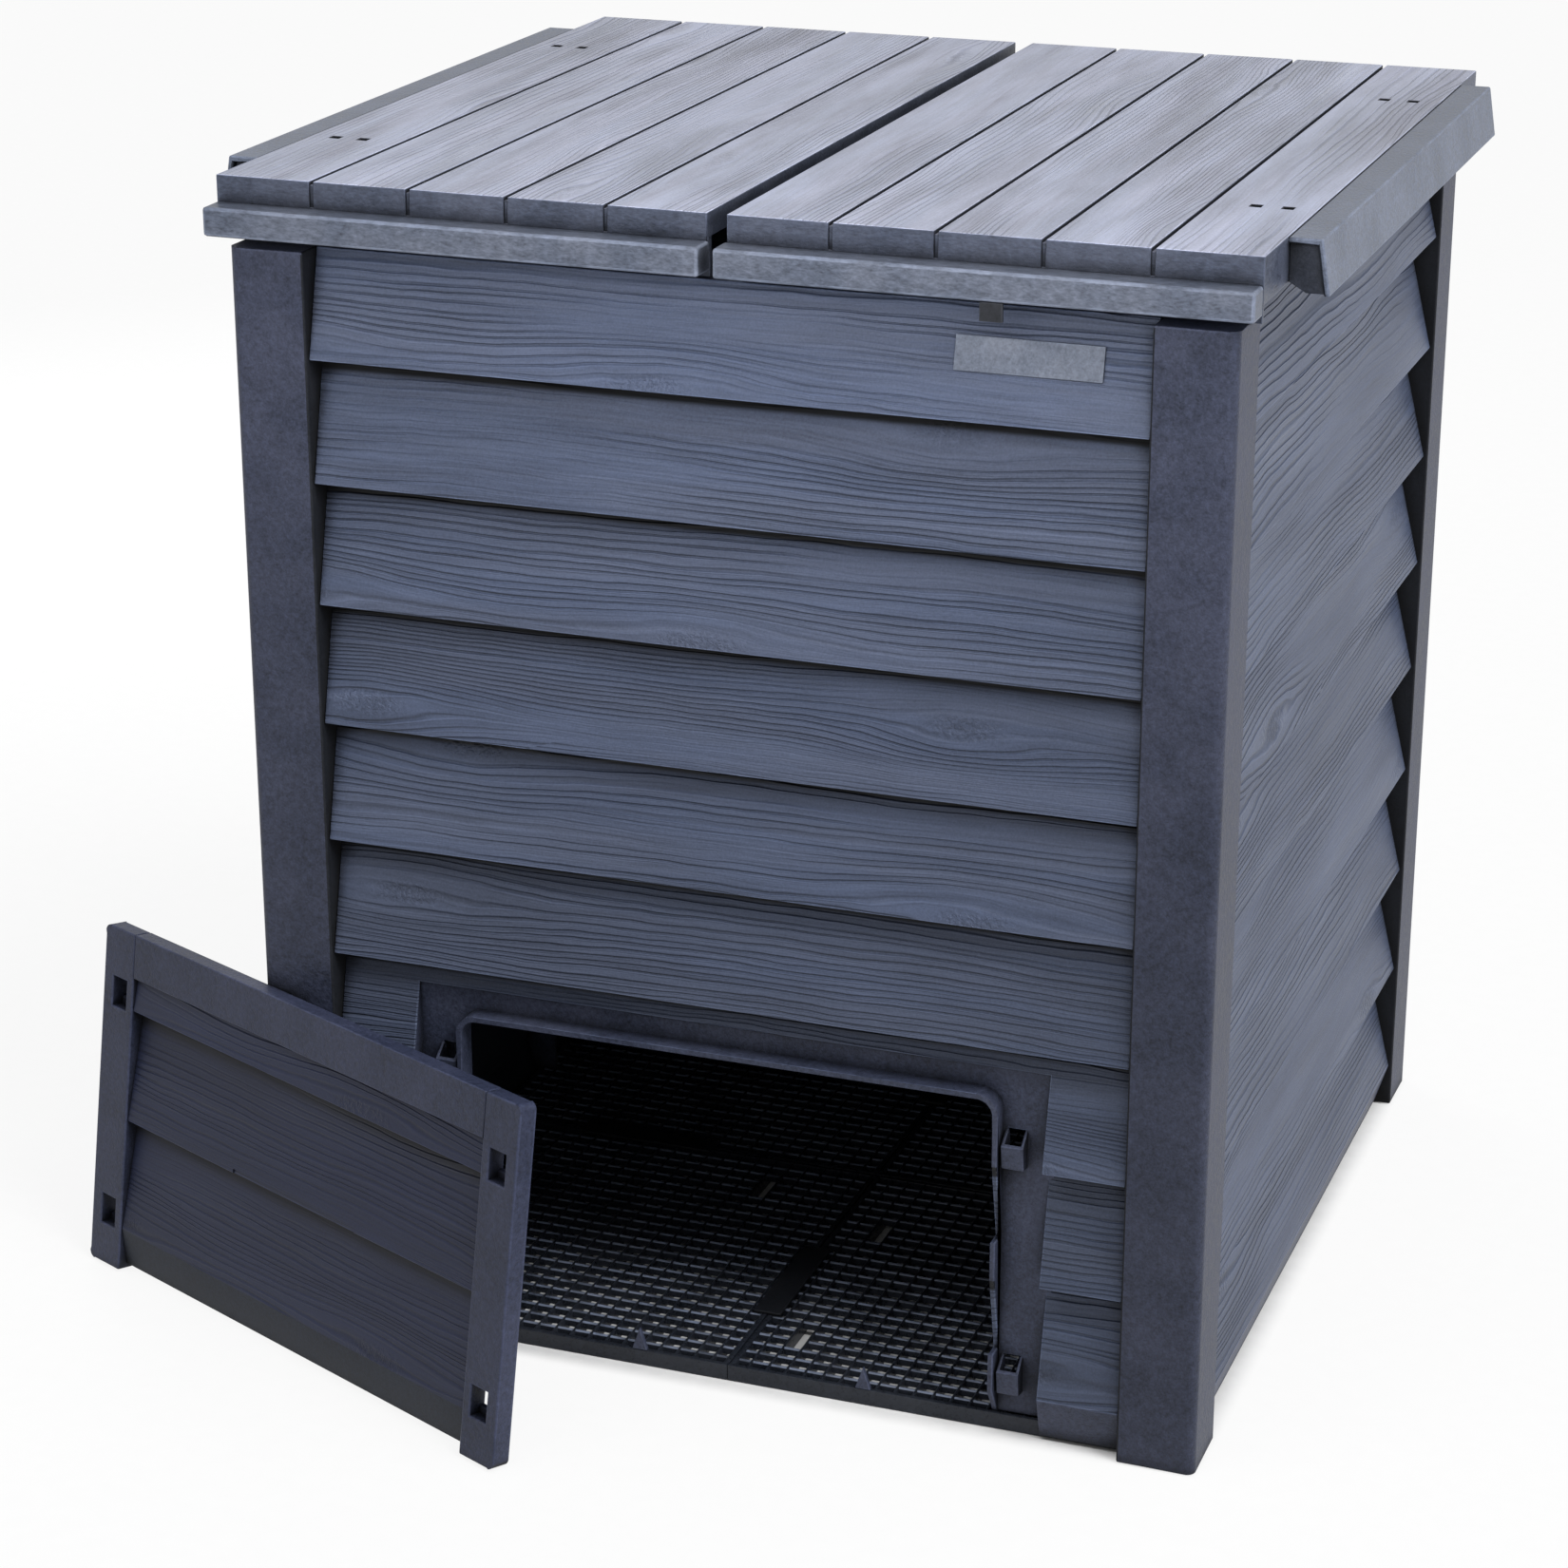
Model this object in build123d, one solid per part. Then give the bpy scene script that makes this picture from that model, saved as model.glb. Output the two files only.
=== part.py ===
from build123d import *
import os
from math import atan2, cos, degrees, radians, sin

# Millimetres. The front is -Y, the ground is z = 0 and the middle of the bin is x = y = 0.
# A depth is measured inwards from the outer faces of the corner posts.

# Corner posts
BIN_WIDTH = 720.0
POST_SIZE = 57.0
POST_WALL = 4.0
POST_INNER_WALL = 16.0
POST_CORNER_RADIUS = 7.0

# Slatted wall panels
FIRST_LIP_Z = 36.3
SLAT_PITCH = 89.5
COURSES = 9
TOP_COURSE = 76.7
LIP_DEPTH = 3.0
SLAT_LEAN = 22.0
SHEET = 4.0
KICK_DEPTH = 13.0
KICK_BOTTOM_Z = 3.0
END_WEB = 6.0
PANEL_RIB = 3.0
PANEL_RIB_X = 101.0
PANEL_RIB_REACH = 4.0
FLANGE_THICKNESS = 6.0
FLANGE_WIDTH = 20.0
TONGUE_THICKNESS = 5.0
TONGUE_REACH = 10.0
TONGUE_DROP = 30.0
FIT_GAP = 0.25

# Door recess, opening and collar in the front panel
RECESS_HALF = 242.0
RECESS_TOP = 284.0
RECESS_WEB = 9.0
RECESS_DEPTH = 22.0
OPENING_SIDE = 38.0
OPENING_DROP = 20.0
OPENING_RADIUS = 12.0
COLLAR_WALL = 4.0
COLLAR_REACH = 15.0
COLLAR_VALLEY = 1.0
TOOTH_RISE = 28.0
TOOTH_DROP = 2.0

# Hooks that carry the door
HOOK_SIDE = 24.0
HOOK_WIDTH = 16.5
HOOK_WALL = 2.2
HOOK_LOW_Z = 30.0
HOOK_SPACING = 179.0
HOOK_HEIGHT = 29.0
HOOK_FOOT = 10.0
HOOK_REACH = 12.5
HOOK_FOOT_RISE = 2.0
HOOK_NOSE_RISE = 20.0
HOOK_WINDOW_RISE = 4.0

# Bare plate on the top slat
BADGE_SIDE = 86.0
BADGE_WIDTH = 102.0
BADGE_HEIGHT = 23.7
BADGE_THICKNESS = 1.5
BADGE_DROP = 32.5
BADGE_GAP = 0.05

# Floor grid
GRID_THICKNESS = 12.0
GRID_GAP = 0.6
GRID_FRAME = 8.0
GRID_BAR = 5.0
GRID_CELLS = 8
GRID_RISE_GAP = 0.5
TAB_X = (-70.0, 106.0)
TAB_WIDTH = 12.0
TAB_HEIGHT = 17.5
TAB_THICKNESS = 4.0
CLIP_NEAR = 143.0
CLIP_LENGTH = 115.0
CLIP_WIDTH = 22.0
CLIP_THICKNESS = 2.5

# Lid leaves
LID_RISE = 48.0
LID_OVERHANG = 12.0
LID_INNER_X = 7.0
LID_INSET = 10.0
DECK_THICKNESS = 6.0
DECK_WALL = 4.0
DECK_RIM = 17.0
DECK_SIDE_DROP = 32.0
PLANKS = 5
PLANK_GROOVE = 3.0
PLANK_GROOVE_DEPTH = 3.0
PLANK_END_GROOVE = 1.5
DECK_RIB = 3.0
DECK_RIB_DROP = 10.0
REST_RIB = 4.0
REST_RIB_DEPTH = 28.0
REST_GAP = 0.3

# Fascia along the front and back edge of each leaf
FASCIA_INNER_X = 5.0
FASCIA_OVERHANG = 13.0
FASCIA_TOP_DROP = 18.5
FASCIA_HEIGHT = 20.5
FASCIA_WALL = 4.0
CATCH_SIDE = 174.0
CATCH_WIDTH = 16.0
CATCH_HEIGHT = 13.0
CATCH_THICKNESS = 3.0

# Hanging skirt over the hinges
SKIRT_END = 73.0
SKIRT_TOP_DROP = 0.5
SKIRT_WIDTH = 23.0
SKIRT_FLARE = 6.0
SKIRT_HEIGHT = 37.5
SKIRT_WALL = 4.0

# Hinges
HINGE_END = 157.0
HINGE_OUT = 11.0
HINGE_RISE = 23.0
KNUCKLE_RADIUS = 8.5
PIN_RADIUS = 4.0
PIN_CLEARANCE = 0.05
PIN_HEAD_RADIUS = 6.0
PIN_HEAD = 2.0
PIN_TAIL = 1.2
BRACKET_HALF = 7.0
BRACKET_BASE_HALF = 24.0
BRACKET_BASE_WIDTH = 30.0
BRACKET_BASE_THICKNESS = 6.0
BRACKET_SET_BACK = 10.0
HINGE_ARM = 7.0
HINGE_SIDE_GAP = 0.3
STRAP_KNUCKLE = 10.0
STRAP_HALF = 22.0
STRAP_WIDTH = 40.0
STRAP_THICKNESS = 4.0
STRAP_SET_BACK = 10.0
STRAP_ARM_INSET = 6.0
PRONG = 6.4
PRONG_HOLE = 7.0
PRONG_OUTER_INSET = 10.0
PRONG_SPACING = 22.0
PRONG_SINK = 1.5
HINGE_NOTCH_HALF = 28.0
HINGE_NOTCH_GAP = 1.0

# Door, drawn upright with its front at y = 0 and then leant on the front left post
DOOR_SIDE_GAP = 3.5
DOOR_TOP_GAP = 9.0
DOOR_THICKNESS = 15.0
DOOR_STILE = 36.5
DOOR_RAIL = 35.0
DOOR_DROP = 2.0
DOOR_KICK_Z = 4.0
DOOR_KICK_DEPTH = 8.0
DOOR_LIP_DEPTH = 1.5
DOOR_SLAT_LEAN = 10.0
DOOR_SHEET = 3.0
DOOR_CORNER_RADIUS = 6.0
DOOR_SLOT_CLEARANCE = 0.25
DOOR_SLOT_HEIGHT = 24.0
DOOR_SLOT_SHIFT = 0.5
DOOR_TAB_HEIGHT = 6.0
DOOR_TAB_THICKNESS = 5.0
GRIP_HALF = 71.0
GRIP_HEIGHT = 3.5
DOOR_YAW = -24.4
DOOR_LEAN = 7.5
DOOR_ALONG = 57.7
DOOR_GAP = 0.3

# Past a face, so that a cut runs right through it
CUT = 10.0

BIN_HALF = BIN_WIDTH / 2
LIPS = [FIRST_LIP_Z + SLAT_PITCH * k for k in range(COURSES)]
WALL_TOP = LIPS[-1] + TOP_COURSE
SLAT_SLOPE = SLAT_LEAN / SLAT_PITCH
SLAT_TOP_DEPTH = LIP_DEPTH + SLAT_LEAN
SLAT_BACK = SLAT_TOP_DEPTH + SHEET
TOP_DEPTH = LIP_DEPTH + SLAT_SLOPE * TOP_COURSE
PANEL_HALF = BIN_HALF - POST_SIZE - FIT_GAP
BADGE_X = BIN_HALF - POST_SIZE - BADGE_SIDE
GRID_HALF = BIN_HALF - KICK_DEPTH - SHEET - GRID_GAP
ABOVE_GRID = GRID_THICKNESS + GRID_RISE_GAP
OPENING_HALF = RECESS_HALF - OPENING_SIDE
OPENING_TOP = RECESS_TOP - OPENING_DROP
HOOK_X = RECESS_HALF - HOOK_SIDE
HOOK_BOTTOMS = (HOOK_LOW_Z, HOOK_LOW_Z + HOOK_SPACING)
LID_HALF = BIN_HALF + LID_OVERHANG
LID_TOP = WALL_TOP + LID_RISE
SKIRT_HALF = BIN_HALF - SKIRT_END
DECK_UNDER = LID_TOP - DECK_THICKNESS
DECK_HALF = BIN_HALF - LID_INSET
CATCH_X = LID_HALF - CATCH_SIDE
FASCIA_HALF = BIN_HALF + FASCIA_OVERHANG
FASCIA_TOP = LID_TOP - FASCIA_TOP_DROP
FASCIA_BOTTOM = FASCIA_TOP - FASCIA_HEIGHT
LEDGE_UNDER = FASCIA_TOP - FASCIA_WALL
HINGE_X = LID_HALF + HINGE_OUT
HINGE_Y = BIN_HALF - HINGE_END
HINGE_Z = WALL_TOP + HINGE_RISE
BORE_RADIUS = PIN_RADIUS + PIN_CLEARANCE
STRAP_UNDER = DECK_UNDER - STRAP_THICKNESS
STRAP_OUTER_X = LID_HALF - STRAP_SET_BACK
PRONG_X = (STRAP_OUTER_X - PRONG_OUTER_INSET, STRAP_OUTER_X - PRONG_OUTER_INSET - PRONG_SPACING)
STRAP_NEAR = BRACKET_HALF + HINGE_SIDE_GAP
STRAP_FAR = STRAP_NEAR + STRAP_KNUCKLE
DOOR_HALF = RECESS_HALF - DOOR_SIDE_GAP
DOOR_TOP = RECESS_TOP - DOOR_TOP_GAP
DOOR_INNER_HALF = DOOR_HALF - DOOR_STILE


def block(x_low, x_high, y_low, y_high, z_low, z_high):
    """Box between two limits on each axis, given in either order."""
    middle = Pos((x_low + x_high) / 2, (y_low + y_high) / 2, (z_low + z_high) / 2)
    return middle * Box(abs(x_high - x_low), abs(y_high - y_low), abs(z_high - z_low))


def prism_x(points, x_low, x_high):
    """Outline of (y, z) points run along X."""
    corners = [Vector(x_low, y, z) for y, z in points]
    return extrude(Face(Wire.make_polygon(corners)), amount=x_high - x_low, dir=(1, 0, 0))


def prism_y(points, y_low, y_high):
    """Outline of (x, z) points run along Y."""
    corners = [Vector(x, y_low, z) for x, z in points]
    return extrude(Face(Wire.make_polygon(corners)), amount=y_high - y_low, dir=(0, 1, 0))


def front_prism(points, x_low, x_high):
    """Outline of (depth, z) points run along the front wall."""
    return prism_x([(depth - BIN_HALF, z) for depth, z in points], x_low, x_high)


def bar_y(start, end, width, y_low, y_high):
    """Straight arm between two (x, z) points, with its width square to its run."""
    run = atan2(end[1] - start[1], end[0] - start[0])
    across_x = -sin(run) * width / 2
    across_z = cos(run) * width / 2
    outline = [
        (start[0] + across_x, start[1] + across_z),
        (end[0] + across_x, end[1] + across_z),
        (end[0] - across_x, end[1] - across_z),
        (start[0] - across_x, start[1] - across_z),
    ]
    return prism_y(outline, y_low, y_high)


def rod_y(radius, x, z, y_low, y_high):
    """Round bar along Y."""
    return Pos(x, (y_low + y_high) / 2, z) * Rot(90, 0, 0) * Cylinder(radius, y_high - y_low)


def outer_chain():
    """Weather face of a wall from its top edge down to the ground."""
    points = [(TOP_DEPTH, WALL_TOP)]
    for lip in reversed(LIPS[1:]):
        points.append((LIP_DEPTH, lip))
        points.append((SLAT_TOP_DEPTH, lip))
    points.append((LIP_DEPTH, LIPS[0]))
    points.append((KICK_DEPTH, KICK_BOTTOM_Z))
    return points


def inner_chain():
    """Inside face of a wall from the ground up and round the top flange."""
    points = [(KICK_DEPTH + SHEET, KICK_BOTTOM_Z), (LIP_DEPTH + SHEET, LIPS[0])]
    for lip in LIPS[1:]:
        points.append((SLAT_BACK, lip))
        points.append((SLAT_BACK, lip + SHEET))
        points.append((LIP_DEPTH + SHEET + SLAT_SLOPE * SHEET, lip + SHEET))
    flange_under = WALL_TOP - FLANGE_THICKNESS
    flange_edge = TOP_DEPTH + FLANGE_WIDTH
    points.append((TOP_DEPTH + SHEET - SLAT_SLOPE * FLANGE_THICKNESS, flange_under))
    points.append((flange_edge, flange_under))
    points.append((flange_edge, WALL_TOP))
    return points


def filled_wall(back, x_low, x_high, z_low, z_high):
    """Solid web from the weather face of a wall back to one depth."""
    outline = outer_chain() + [(back, KICK_BOTTOM_Z), (back, WALL_TOP)]
    span = block(x_low, x_high, -BIN_HALF - CUT, -BIN_HALF + back + CUT, z_low, z_high)
    return front_prism(outline, x_low, x_high) & span


def wall_panel():
    """Front wall before its door recess: slats, end webs, ribs, flange and tongues."""
    panel = front_prism(outer_chain() + inner_chain(), -PANEL_HALF, PANEL_HALF)
    flange_under = WALL_TOP - FLANGE_THICKNESS
    rib_half = PANEL_RIB / 2
    rib_back = SLAT_BACK + PANEL_RIB_REACH
    web_x = PANEL_HALF - END_WEB
    tongue_y = (SLAT_BACK - TONGUE_THICKNESS - BIN_HALF, SLAT_BACK - BIN_HALF)
    tongue_z = (ABOVE_GRID, WALL_TOP - TONGUE_DROP)
    panel += filled_wall(SLAT_BACK, -PANEL_HALF, -web_x, ABOVE_GRID, WALL_TOP)
    panel += filled_wall(SLAT_BACK, web_x, PANEL_HALF, ABOVE_GRID, WALL_TOP)
    for side in (-1, 1):
        rib_x = side * PANEL_RIB_X
        panel += filled_wall(rib_back, rib_x - rib_half, rib_x + rib_half, ABOVE_GRID, flange_under)
        panel += block(side * web_x, side * (PANEL_HALF + TONGUE_REACH), *tongue_y, *tongue_z)
    return panel


def arch(half, top, radius, depth_front, depth_back):
    """Door-shaped block on the front wall with two rounded upper corners."""
    outline = Pos(0, (top - CUT) / 2) * Rectangle(2 * half, top + CUT)
    outline = fillet(outline.vertices().sort_by(Axis.Y)[-2:], radius)
    plane = Plane((0, depth_back - BIN_HALF, 0), x_dir=(1, 0, 0), z_dir=(0, -1, 0))
    return extrude(plane * outline, amount=depth_back - depth_front)


def door_collar():
    """Rim round the door opening, with teeth that follow the slats of the door."""
    front = RECESS_DEPTH - COLLAR_REACH
    valley = RECESS_DEPTH - COLLAR_VALLEY
    seat = RECESS_DEPTH + SHEET / 2
    outer_half = OPENING_HALF + COLLAR_WALL
    outer_top = OPENING_TOP + COLLAR_WALL
    ring = arch(outer_half, outer_top, OPENING_RADIUS + COLLAR_WALL, front, seat)
    ring -= arch(OPENING_HALF, OPENING_TOP, OPENING_RADIUS, front - CUT, seat + CUT)
    teeth = [(seat, outer_top), (front, outer_top)]
    door_lips = [lip for lip in LIPS if lip < OPENING_TOP - OPENING_RADIUS]
    for lip, lower in zip(reversed(door_lips), reversed([None] + door_lips[:-1])):
        foot = ABOVE_GRID if lower is None else lower + TOOTH_RISE
        teeth.append((front, lip - TOOTH_DROP))
        teeth.append((valley, foot))
        if lower is not None:
            teeth.append((front, foot))
    teeth.append((seat, ABOVE_GRID))
    return ring & front_prism(teeth, -outer_half, outer_half)


def front_panel():
    """Front wall with the door recess, the opening, its collar and the hook windows."""
    panel = wall_panel()
    inside = SLAT_BACK + PANEL_RIB_REACH + CUT - BIN_HALF
    panel -= block(-RECESS_HALF, RECESS_HALF, -BIN_HALF - CUT, inside, -CUT, RECESS_TOP)
    plate_half = RECESS_HALF + SHEET
    plate_top = RECESS_TOP + SHEET
    plate_y = (RECESS_DEPTH - BIN_HALF, RECESS_DEPTH + SHEET - BIN_HALF)
    web_x = RECESS_HALF + RECESS_WEB
    panel += block(-plate_half, plate_half, *plate_y, ABOVE_GRID, plate_top)
    panel += filled_wall(SLAT_BACK, -web_x, web_x, RECESS_TOP, plate_top)
    panel += filled_wall(SLAT_BACK, -web_x, -RECESS_HALF, ABOVE_GRID, plate_top)
    panel += filled_wall(SLAT_BACK, RECESS_HALF, web_x, ABOVE_GRID, plate_top)
    panel -= arch(OPENING_HALF, OPENING_TOP, OPENING_RADIUS, RECESS_DEPTH - CUT, SLAT_BACK)
    panel += door_collar()
    window_half = HOOK_WIDTH / 2 - HOOK_WALL
    for side in (-1, 1):
        for bottom in HOOK_BOTTOMS:
            x = side * HOOK_X
            window_x = (x - window_half, x + window_half)
            window_z = (bottom + HOOK_WINDOW_RISE, bottom + HOOK_HEIGHT)
            panel -= block(*window_x, plate_y[0] - CUT, plate_y[1] + CUT, *window_z)
    return panel


def door_hook(x, bottom):
    """Open-topped pocket on the recess plate that a door slot drops over."""
    foot = RECESS_DEPTH - HOOK_FOOT
    nose = RECESS_DEPTH - HOOK_REACH
    floor = bottom + HOOK_FOOT_RISE + HOOK_WALL
    over = bottom + HOOK_HEIGHT + CUT
    half = HOOK_WIDTH / 2
    outline = [
        (RECESS_DEPTH, bottom),
        (foot, bottom + HOOK_FOOT_RISE),
        (nose, bottom + HOOK_NOSE_RISE),
        (RECESS_DEPTH, bottom + HOOK_HEIGHT),
    ]
    pocket = [
        (RECESS_DEPTH + CUT, floor),
        (foot + HOOK_WALL, floor),
        (nose + HOOK_WALL, bottom + HOOK_NOSE_RISE),
        (nose + HOOK_WALL, over),
        (RECESS_DEPTH + CUT, over),
    ]
    return front_prism(outline, x - half, x + half) - front_prism(
        pocket, x - half + HOOK_WALL, x + half - HOOK_WALL
    )


def corner_post():
    """Front right post: a capped square tube with a tongue groove in each inner face."""
    inner = BIN_HALF - POST_SIZE
    middle = BIN_HALF - POST_SIZE / 2
    outline = Pos(middle, -middle) * Rectangle(POST_SIZE, POST_SIZE)
    outline = fillet(max(outline.vertices(), key=lambda v: v.X - v.Y), POST_CORNER_RADIUS)
    post = extrude(outline, amount=WALL_TOP)
    cavity = (inner + POST_INNER_WALL, BIN_HALF - POST_WALL)
    post -= block(*cavity, -cavity[0], -cavity[1], -CUT, WALL_TOP - POST_WALL)
    groove_end = inner + TONGUE_REACH + FIT_GAP
    groove = (
        BIN_HALF - SLAT_BACK - FIT_GAP,
        BIN_HALF - SLAT_BACK + TONGUE_THICKNESS + FIT_GAP,
    )
    groove_top = WALL_TOP - TONGUE_DROP + FIT_GAP
    post -= block(inner - CUT, groove_end, -groove[0], -groove[1], -CUT, groove_top)
    post -= block(*groove, -inner + CUT, -groove_end, -CUT, groove_top)
    return post


def badge():
    """Bare plate on the top slat of the front wall."""
    lean = degrees(atan2(SLAT_LEAN, SLAT_PITCH))
    middle_z = WALL_TOP - BADGE_DROP
    depth = TOP_DEPTH - SLAT_SLOPE * BADGE_DROP
    lift = BADGE_THICKNESS / 2 + BADGE_GAP
    seat = Pos(BADGE_X, depth - BIN_HALF, middle_z) * Rot(-lean, 0, 0) * Pos(0, -lift, 0)
    return seat * Box(BADGE_WIDTH, BADGE_THICKNESS, BADGE_HEIGHT)


def grid_quarter():
    """Front right quarter of the floor grid, notched round its corner post."""
    edge = GRID_GAP / 2
    notch = BIN_HALF - POST_SIZE - GRID_GAP
    pitch = (GRID_HALF - edge - 2 * GRID_FRAME + GRID_BAR) / GRID_CELLS
    cell = pitch - GRID_BAR
    quarter = block(edge, GRID_HALF, -edge, -GRID_HALF, 0, GRID_THICKNESS)
    starts = [edge + GRID_FRAME + pitch * k for k in range(GRID_CELLS)]
    cells = []
    for x in starts:
        for y in starts:
            if min(x, y) + cell + GRID_BAR < notch:
                cells.append(block(x, x + cell, -y, -y - cell, -CUT, GRID_THICKNESS + CUT))
    quarter -= cells
    far = GRID_HALF + CUT
    return quarter - block(notch, far, -notch, -far, -CUT, GRID_THICKNESS + CUT)


def grid_tab(x):
    """Pointed tab on the front edge of the floor grid."""
    top = GRID_THICKNESS + TAB_HEIGHT
    outline = [
        (x - TAB_WIDTH / 2, GRID_THICKNESS),
        (x + TAB_WIDTH / 2, GRID_THICKNESS),
        (x, top),
    ]
    return prism_y(outline, -GRID_HALF, -GRID_HALF + TAB_THICKNESS)


def lid_deck():
    """Right leaf: planks with a turned-down rim, stiffening ribs and rest ribs."""
    deck = block(LID_INNER_X, LID_HALF, -DECK_HALF, DECK_HALF, DECK_UNDER, LID_TOP)
    inner_wall = LID_INNER_X + DECK_WALL
    outer_wall = LID_HALF - DECK_WALL
    end_wall = DECK_HALF - DECK_WALL
    side_bottom = LID_TOP - DECK_SIDE_DROP
    deck += block(LID_INNER_X, inner_wall, -DECK_HALF, DECK_HALF, LID_TOP - DECK_RIM, DECK_UNDER)
    deck += block(outer_wall, LID_HALF, -DECK_HALF, DECK_HALF, side_bottom, DECK_UNDER)
    rest = BIN_HALF - REST_RIB_DEPTH
    for side in (-1, 1):
        deck += block(LID_INNER_X, LID_HALF, side * end_wall, side * DECK_HALF, LEDGE_UNDER, DECK_UNDER)
        rib_y = (side * rest - REST_RIB / 2, side * rest + REST_RIB / 2)
        deck += block(inner_wall, outer_wall, *rib_y, WALL_TOP + REST_GAP, DECK_UNDER)
    plank = (LID_HALF - LID_INNER_X) / PLANKS
    for k in range(1, PLANKS):
        x = LID_INNER_X + plank * k
        rib_x = (x - DECK_RIB / 2, x + DECK_RIB / 2)
        groove_x = (x - PLANK_GROOVE / 2, x + PLANK_GROOVE / 2)
        deck += block(*rib_x, -end_wall, end_wall, DECK_UNDER - DECK_RIB_DROP, DECK_UNDER)
        deck -= block(
            *groove_x, -DECK_HALF - CUT, DECK_HALF + CUT, LID_TOP - PLANK_GROOVE_DEPTH, LID_TOP + CUT
        )
        for side in (-1, 1):
            groove_y = (side * (DECK_HALF - PLANK_END_GROOVE), side * (DECK_HALF + CUT))
            deck -= block(*groove_x, *groove_y, FASCIA_TOP, LID_TOP + CUT)
    half_hole = PRONG_HOLE / 2
    for y in (-HINGE_Y, HINGE_Y):
        notch_y = (y - HINGE_NOTCH_HALF, y + HINGE_NOTCH_HALF)
        notch_z = (side_bottom - CUT, STRAP_UNDER - HINGE_NOTCH_GAP)
        deck -= block(outer_wall, LID_HALF + CUT, *notch_y, *notch_z)
        for x in PRONG_X:
            hole = (x - half_hole, x + half_hole, y - half_hole, y + half_hole)
            deck -= block(*hole, DECK_UNDER - CUT, LID_TOP + CUT)
    return deck


def lid_fascia():
    """Front fascia of the right leaf: a hanging board with a ledge and closed ends."""
    back = FASCIA_HALF - FASCIA_WALL
    inner_end = FASCIA_INNER_X + FASCIA_WALL
    outer_end = LID_HALF - FASCIA_WALL
    fascia = block(FASCIA_INNER_X, LID_HALF, -FASCIA_HALF, -back, FASCIA_BOTTOM, FASCIA_TOP)
    fascia += block(FASCIA_INNER_X, LID_HALF, -back, -DECK_HALF, LEDGE_UNDER, FASCIA_TOP)
    fascia += block(FASCIA_INNER_X, inner_end, -back, -DECK_HALF, FASCIA_BOTTOM, LEDGE_UNDER)
    fascia += block(outer_end, LID_HALF, -back, -DECK_HALF, FASCIA_BOTTOM, LEDGE_UNDER)
    return fascia


def lid_catch():
    """Small tongue under the front fascia of the right leaf."""
    middle_y = -FASCIA_HALF + FASCIA_WALL / 2
    y_limits = (middle_y - CATCH_THICKNESS / 2, middle_y + CATCH_THICKNESS / 2)
    x_limits = (CATCH_X - CATCH_WIDTH / 2, CATCH_X + CATCH_WIDTH / 2)
    return block(*x_limits, *y_limits, FASCIA_BOTTOM - CATCH_HEIGHT, FASCIA_BOTTOM)


def lid_skirt():
    """Flared channel that hangs over the hinges of the right leaf."""
    top = LID_TOP - SKIRT_TOP_DROP
    bottom = top - SKIRT_HEIGHT
    shoulder = LID_HALF + SKIRT_WIDTH
    foot = shoulder + SKIRT_FLARE
    inner_shoulder = shoulder - SKIRT_WALL + SKIRT_FLARE * SKIRT_WALL / SKIRT_HEIGHT
    outline = [
        (LID_HALF, top),
        (shoulder, top),
        (foot, bottom),
        (foot - SKIRT_WALL, bottom),
        (inner_shoulder, top - SKIRT_WALL),
        (LID_HALF, top - SKIRT_WALL),
    ]
    return prism_y(outline, -SKIRT_HALF, SKIRT_HALF)


def hinge_bracket(y):
    """Right-hand hinge foot on the wall flange, with an arm out to the pin."""
    outer = BIN_HALF - BRACKET_SET_BACK
    base_top = WALL_TOP + BRACKET_BASE_THICKNESS
    base_y = (y - BRACKET_BASE_HALF, y + BRACKET_BASE_HALF)
    arm_y = (y - BRACKET_HALF, y + BRACKET_HALF)
    start = (outer - HINGE_ARM / 2, WALL_TOP + HINGE_ARM / 2)
    bracket = block(outer - BRACKET_BASE_WIDTH, outer, *base_y, WALL_TOP, base_top)
    bracket += bar_y(start, (HINGE_X, HINGE_Z), HINGE_ARM, *arm_y)
    bracket += rod_y(KNUCKLE_RADIUS, HINGE_X, HINGE_Z, *arm_y)
    bracket -= rod_y(BORE_RADIUS, HINGE_X, HINGE_Z, y - BRACKET_HALF - CUT, y + BRACKET_HALF + CUT)
    return bracket & block(0, HINGE_X + CUT * 2, *base_y, WALL_TOP, LID_TOP)


def hinge_strap(y):
    """Right-hand hinge strap under the planks, with prongs and two knuckles."""
    plate_x = (STRAP_OUTER_X - STRAP_WIDTH, STRAP_OUTER_X)
    strap = block(*plate_x, y - STRAP_HALF, y + STRAP_HALF, STRAP_UNDER, DECK_UNDER)
    start = (STRAP_OUTER_X - STRAP_ARM_INSET, STRAP_UNDER)
    for side in (-1, 1):
        arm_y = sorted((y + side * STRAP_NEAR, y + side * STRAP_FAR))
        arm = bar_y(start, (HINGE_X, HINGE_Z), HINGE_ARM, *arm_y)
        strap += arm & block(0, HINGE_X + CUT, *arm_y, 0, DECK_UNDER)
        strap += rod_y(KNUCKLE_RADIUS, HINGE_X, HINGE_Z, *arm_y)
    strap -= rod_y(BORE_RADIUS, HINGE_X, HINGE_Z, y - STRAP_FAR - CUT, y + STRAP_FAR + CUT)
    half = PRONG / 2
    for x in PRONG_X:
        strap += block(x - half, x + half, y - half, y + half, STRAP_UNDER, LID_TOP - PRONG_SINK)
    return strap


def hinge_pin(y):
    """Right-hand hinge pin with a flat head."""
    head_y = y + STRAP_FAR + HINGE_SIDE_GAP
    pin = rod_y(PIN_RADIUS, HINGE_X, HINGE_Z, y - STRAP_FAR - PIN_TAIL, head_y)
    return pin + rod_y(PIN_HEAD_RADIUS, HINGE_X, HINGE_Z, head_y, head_y + PIN_HEAD)


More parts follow.
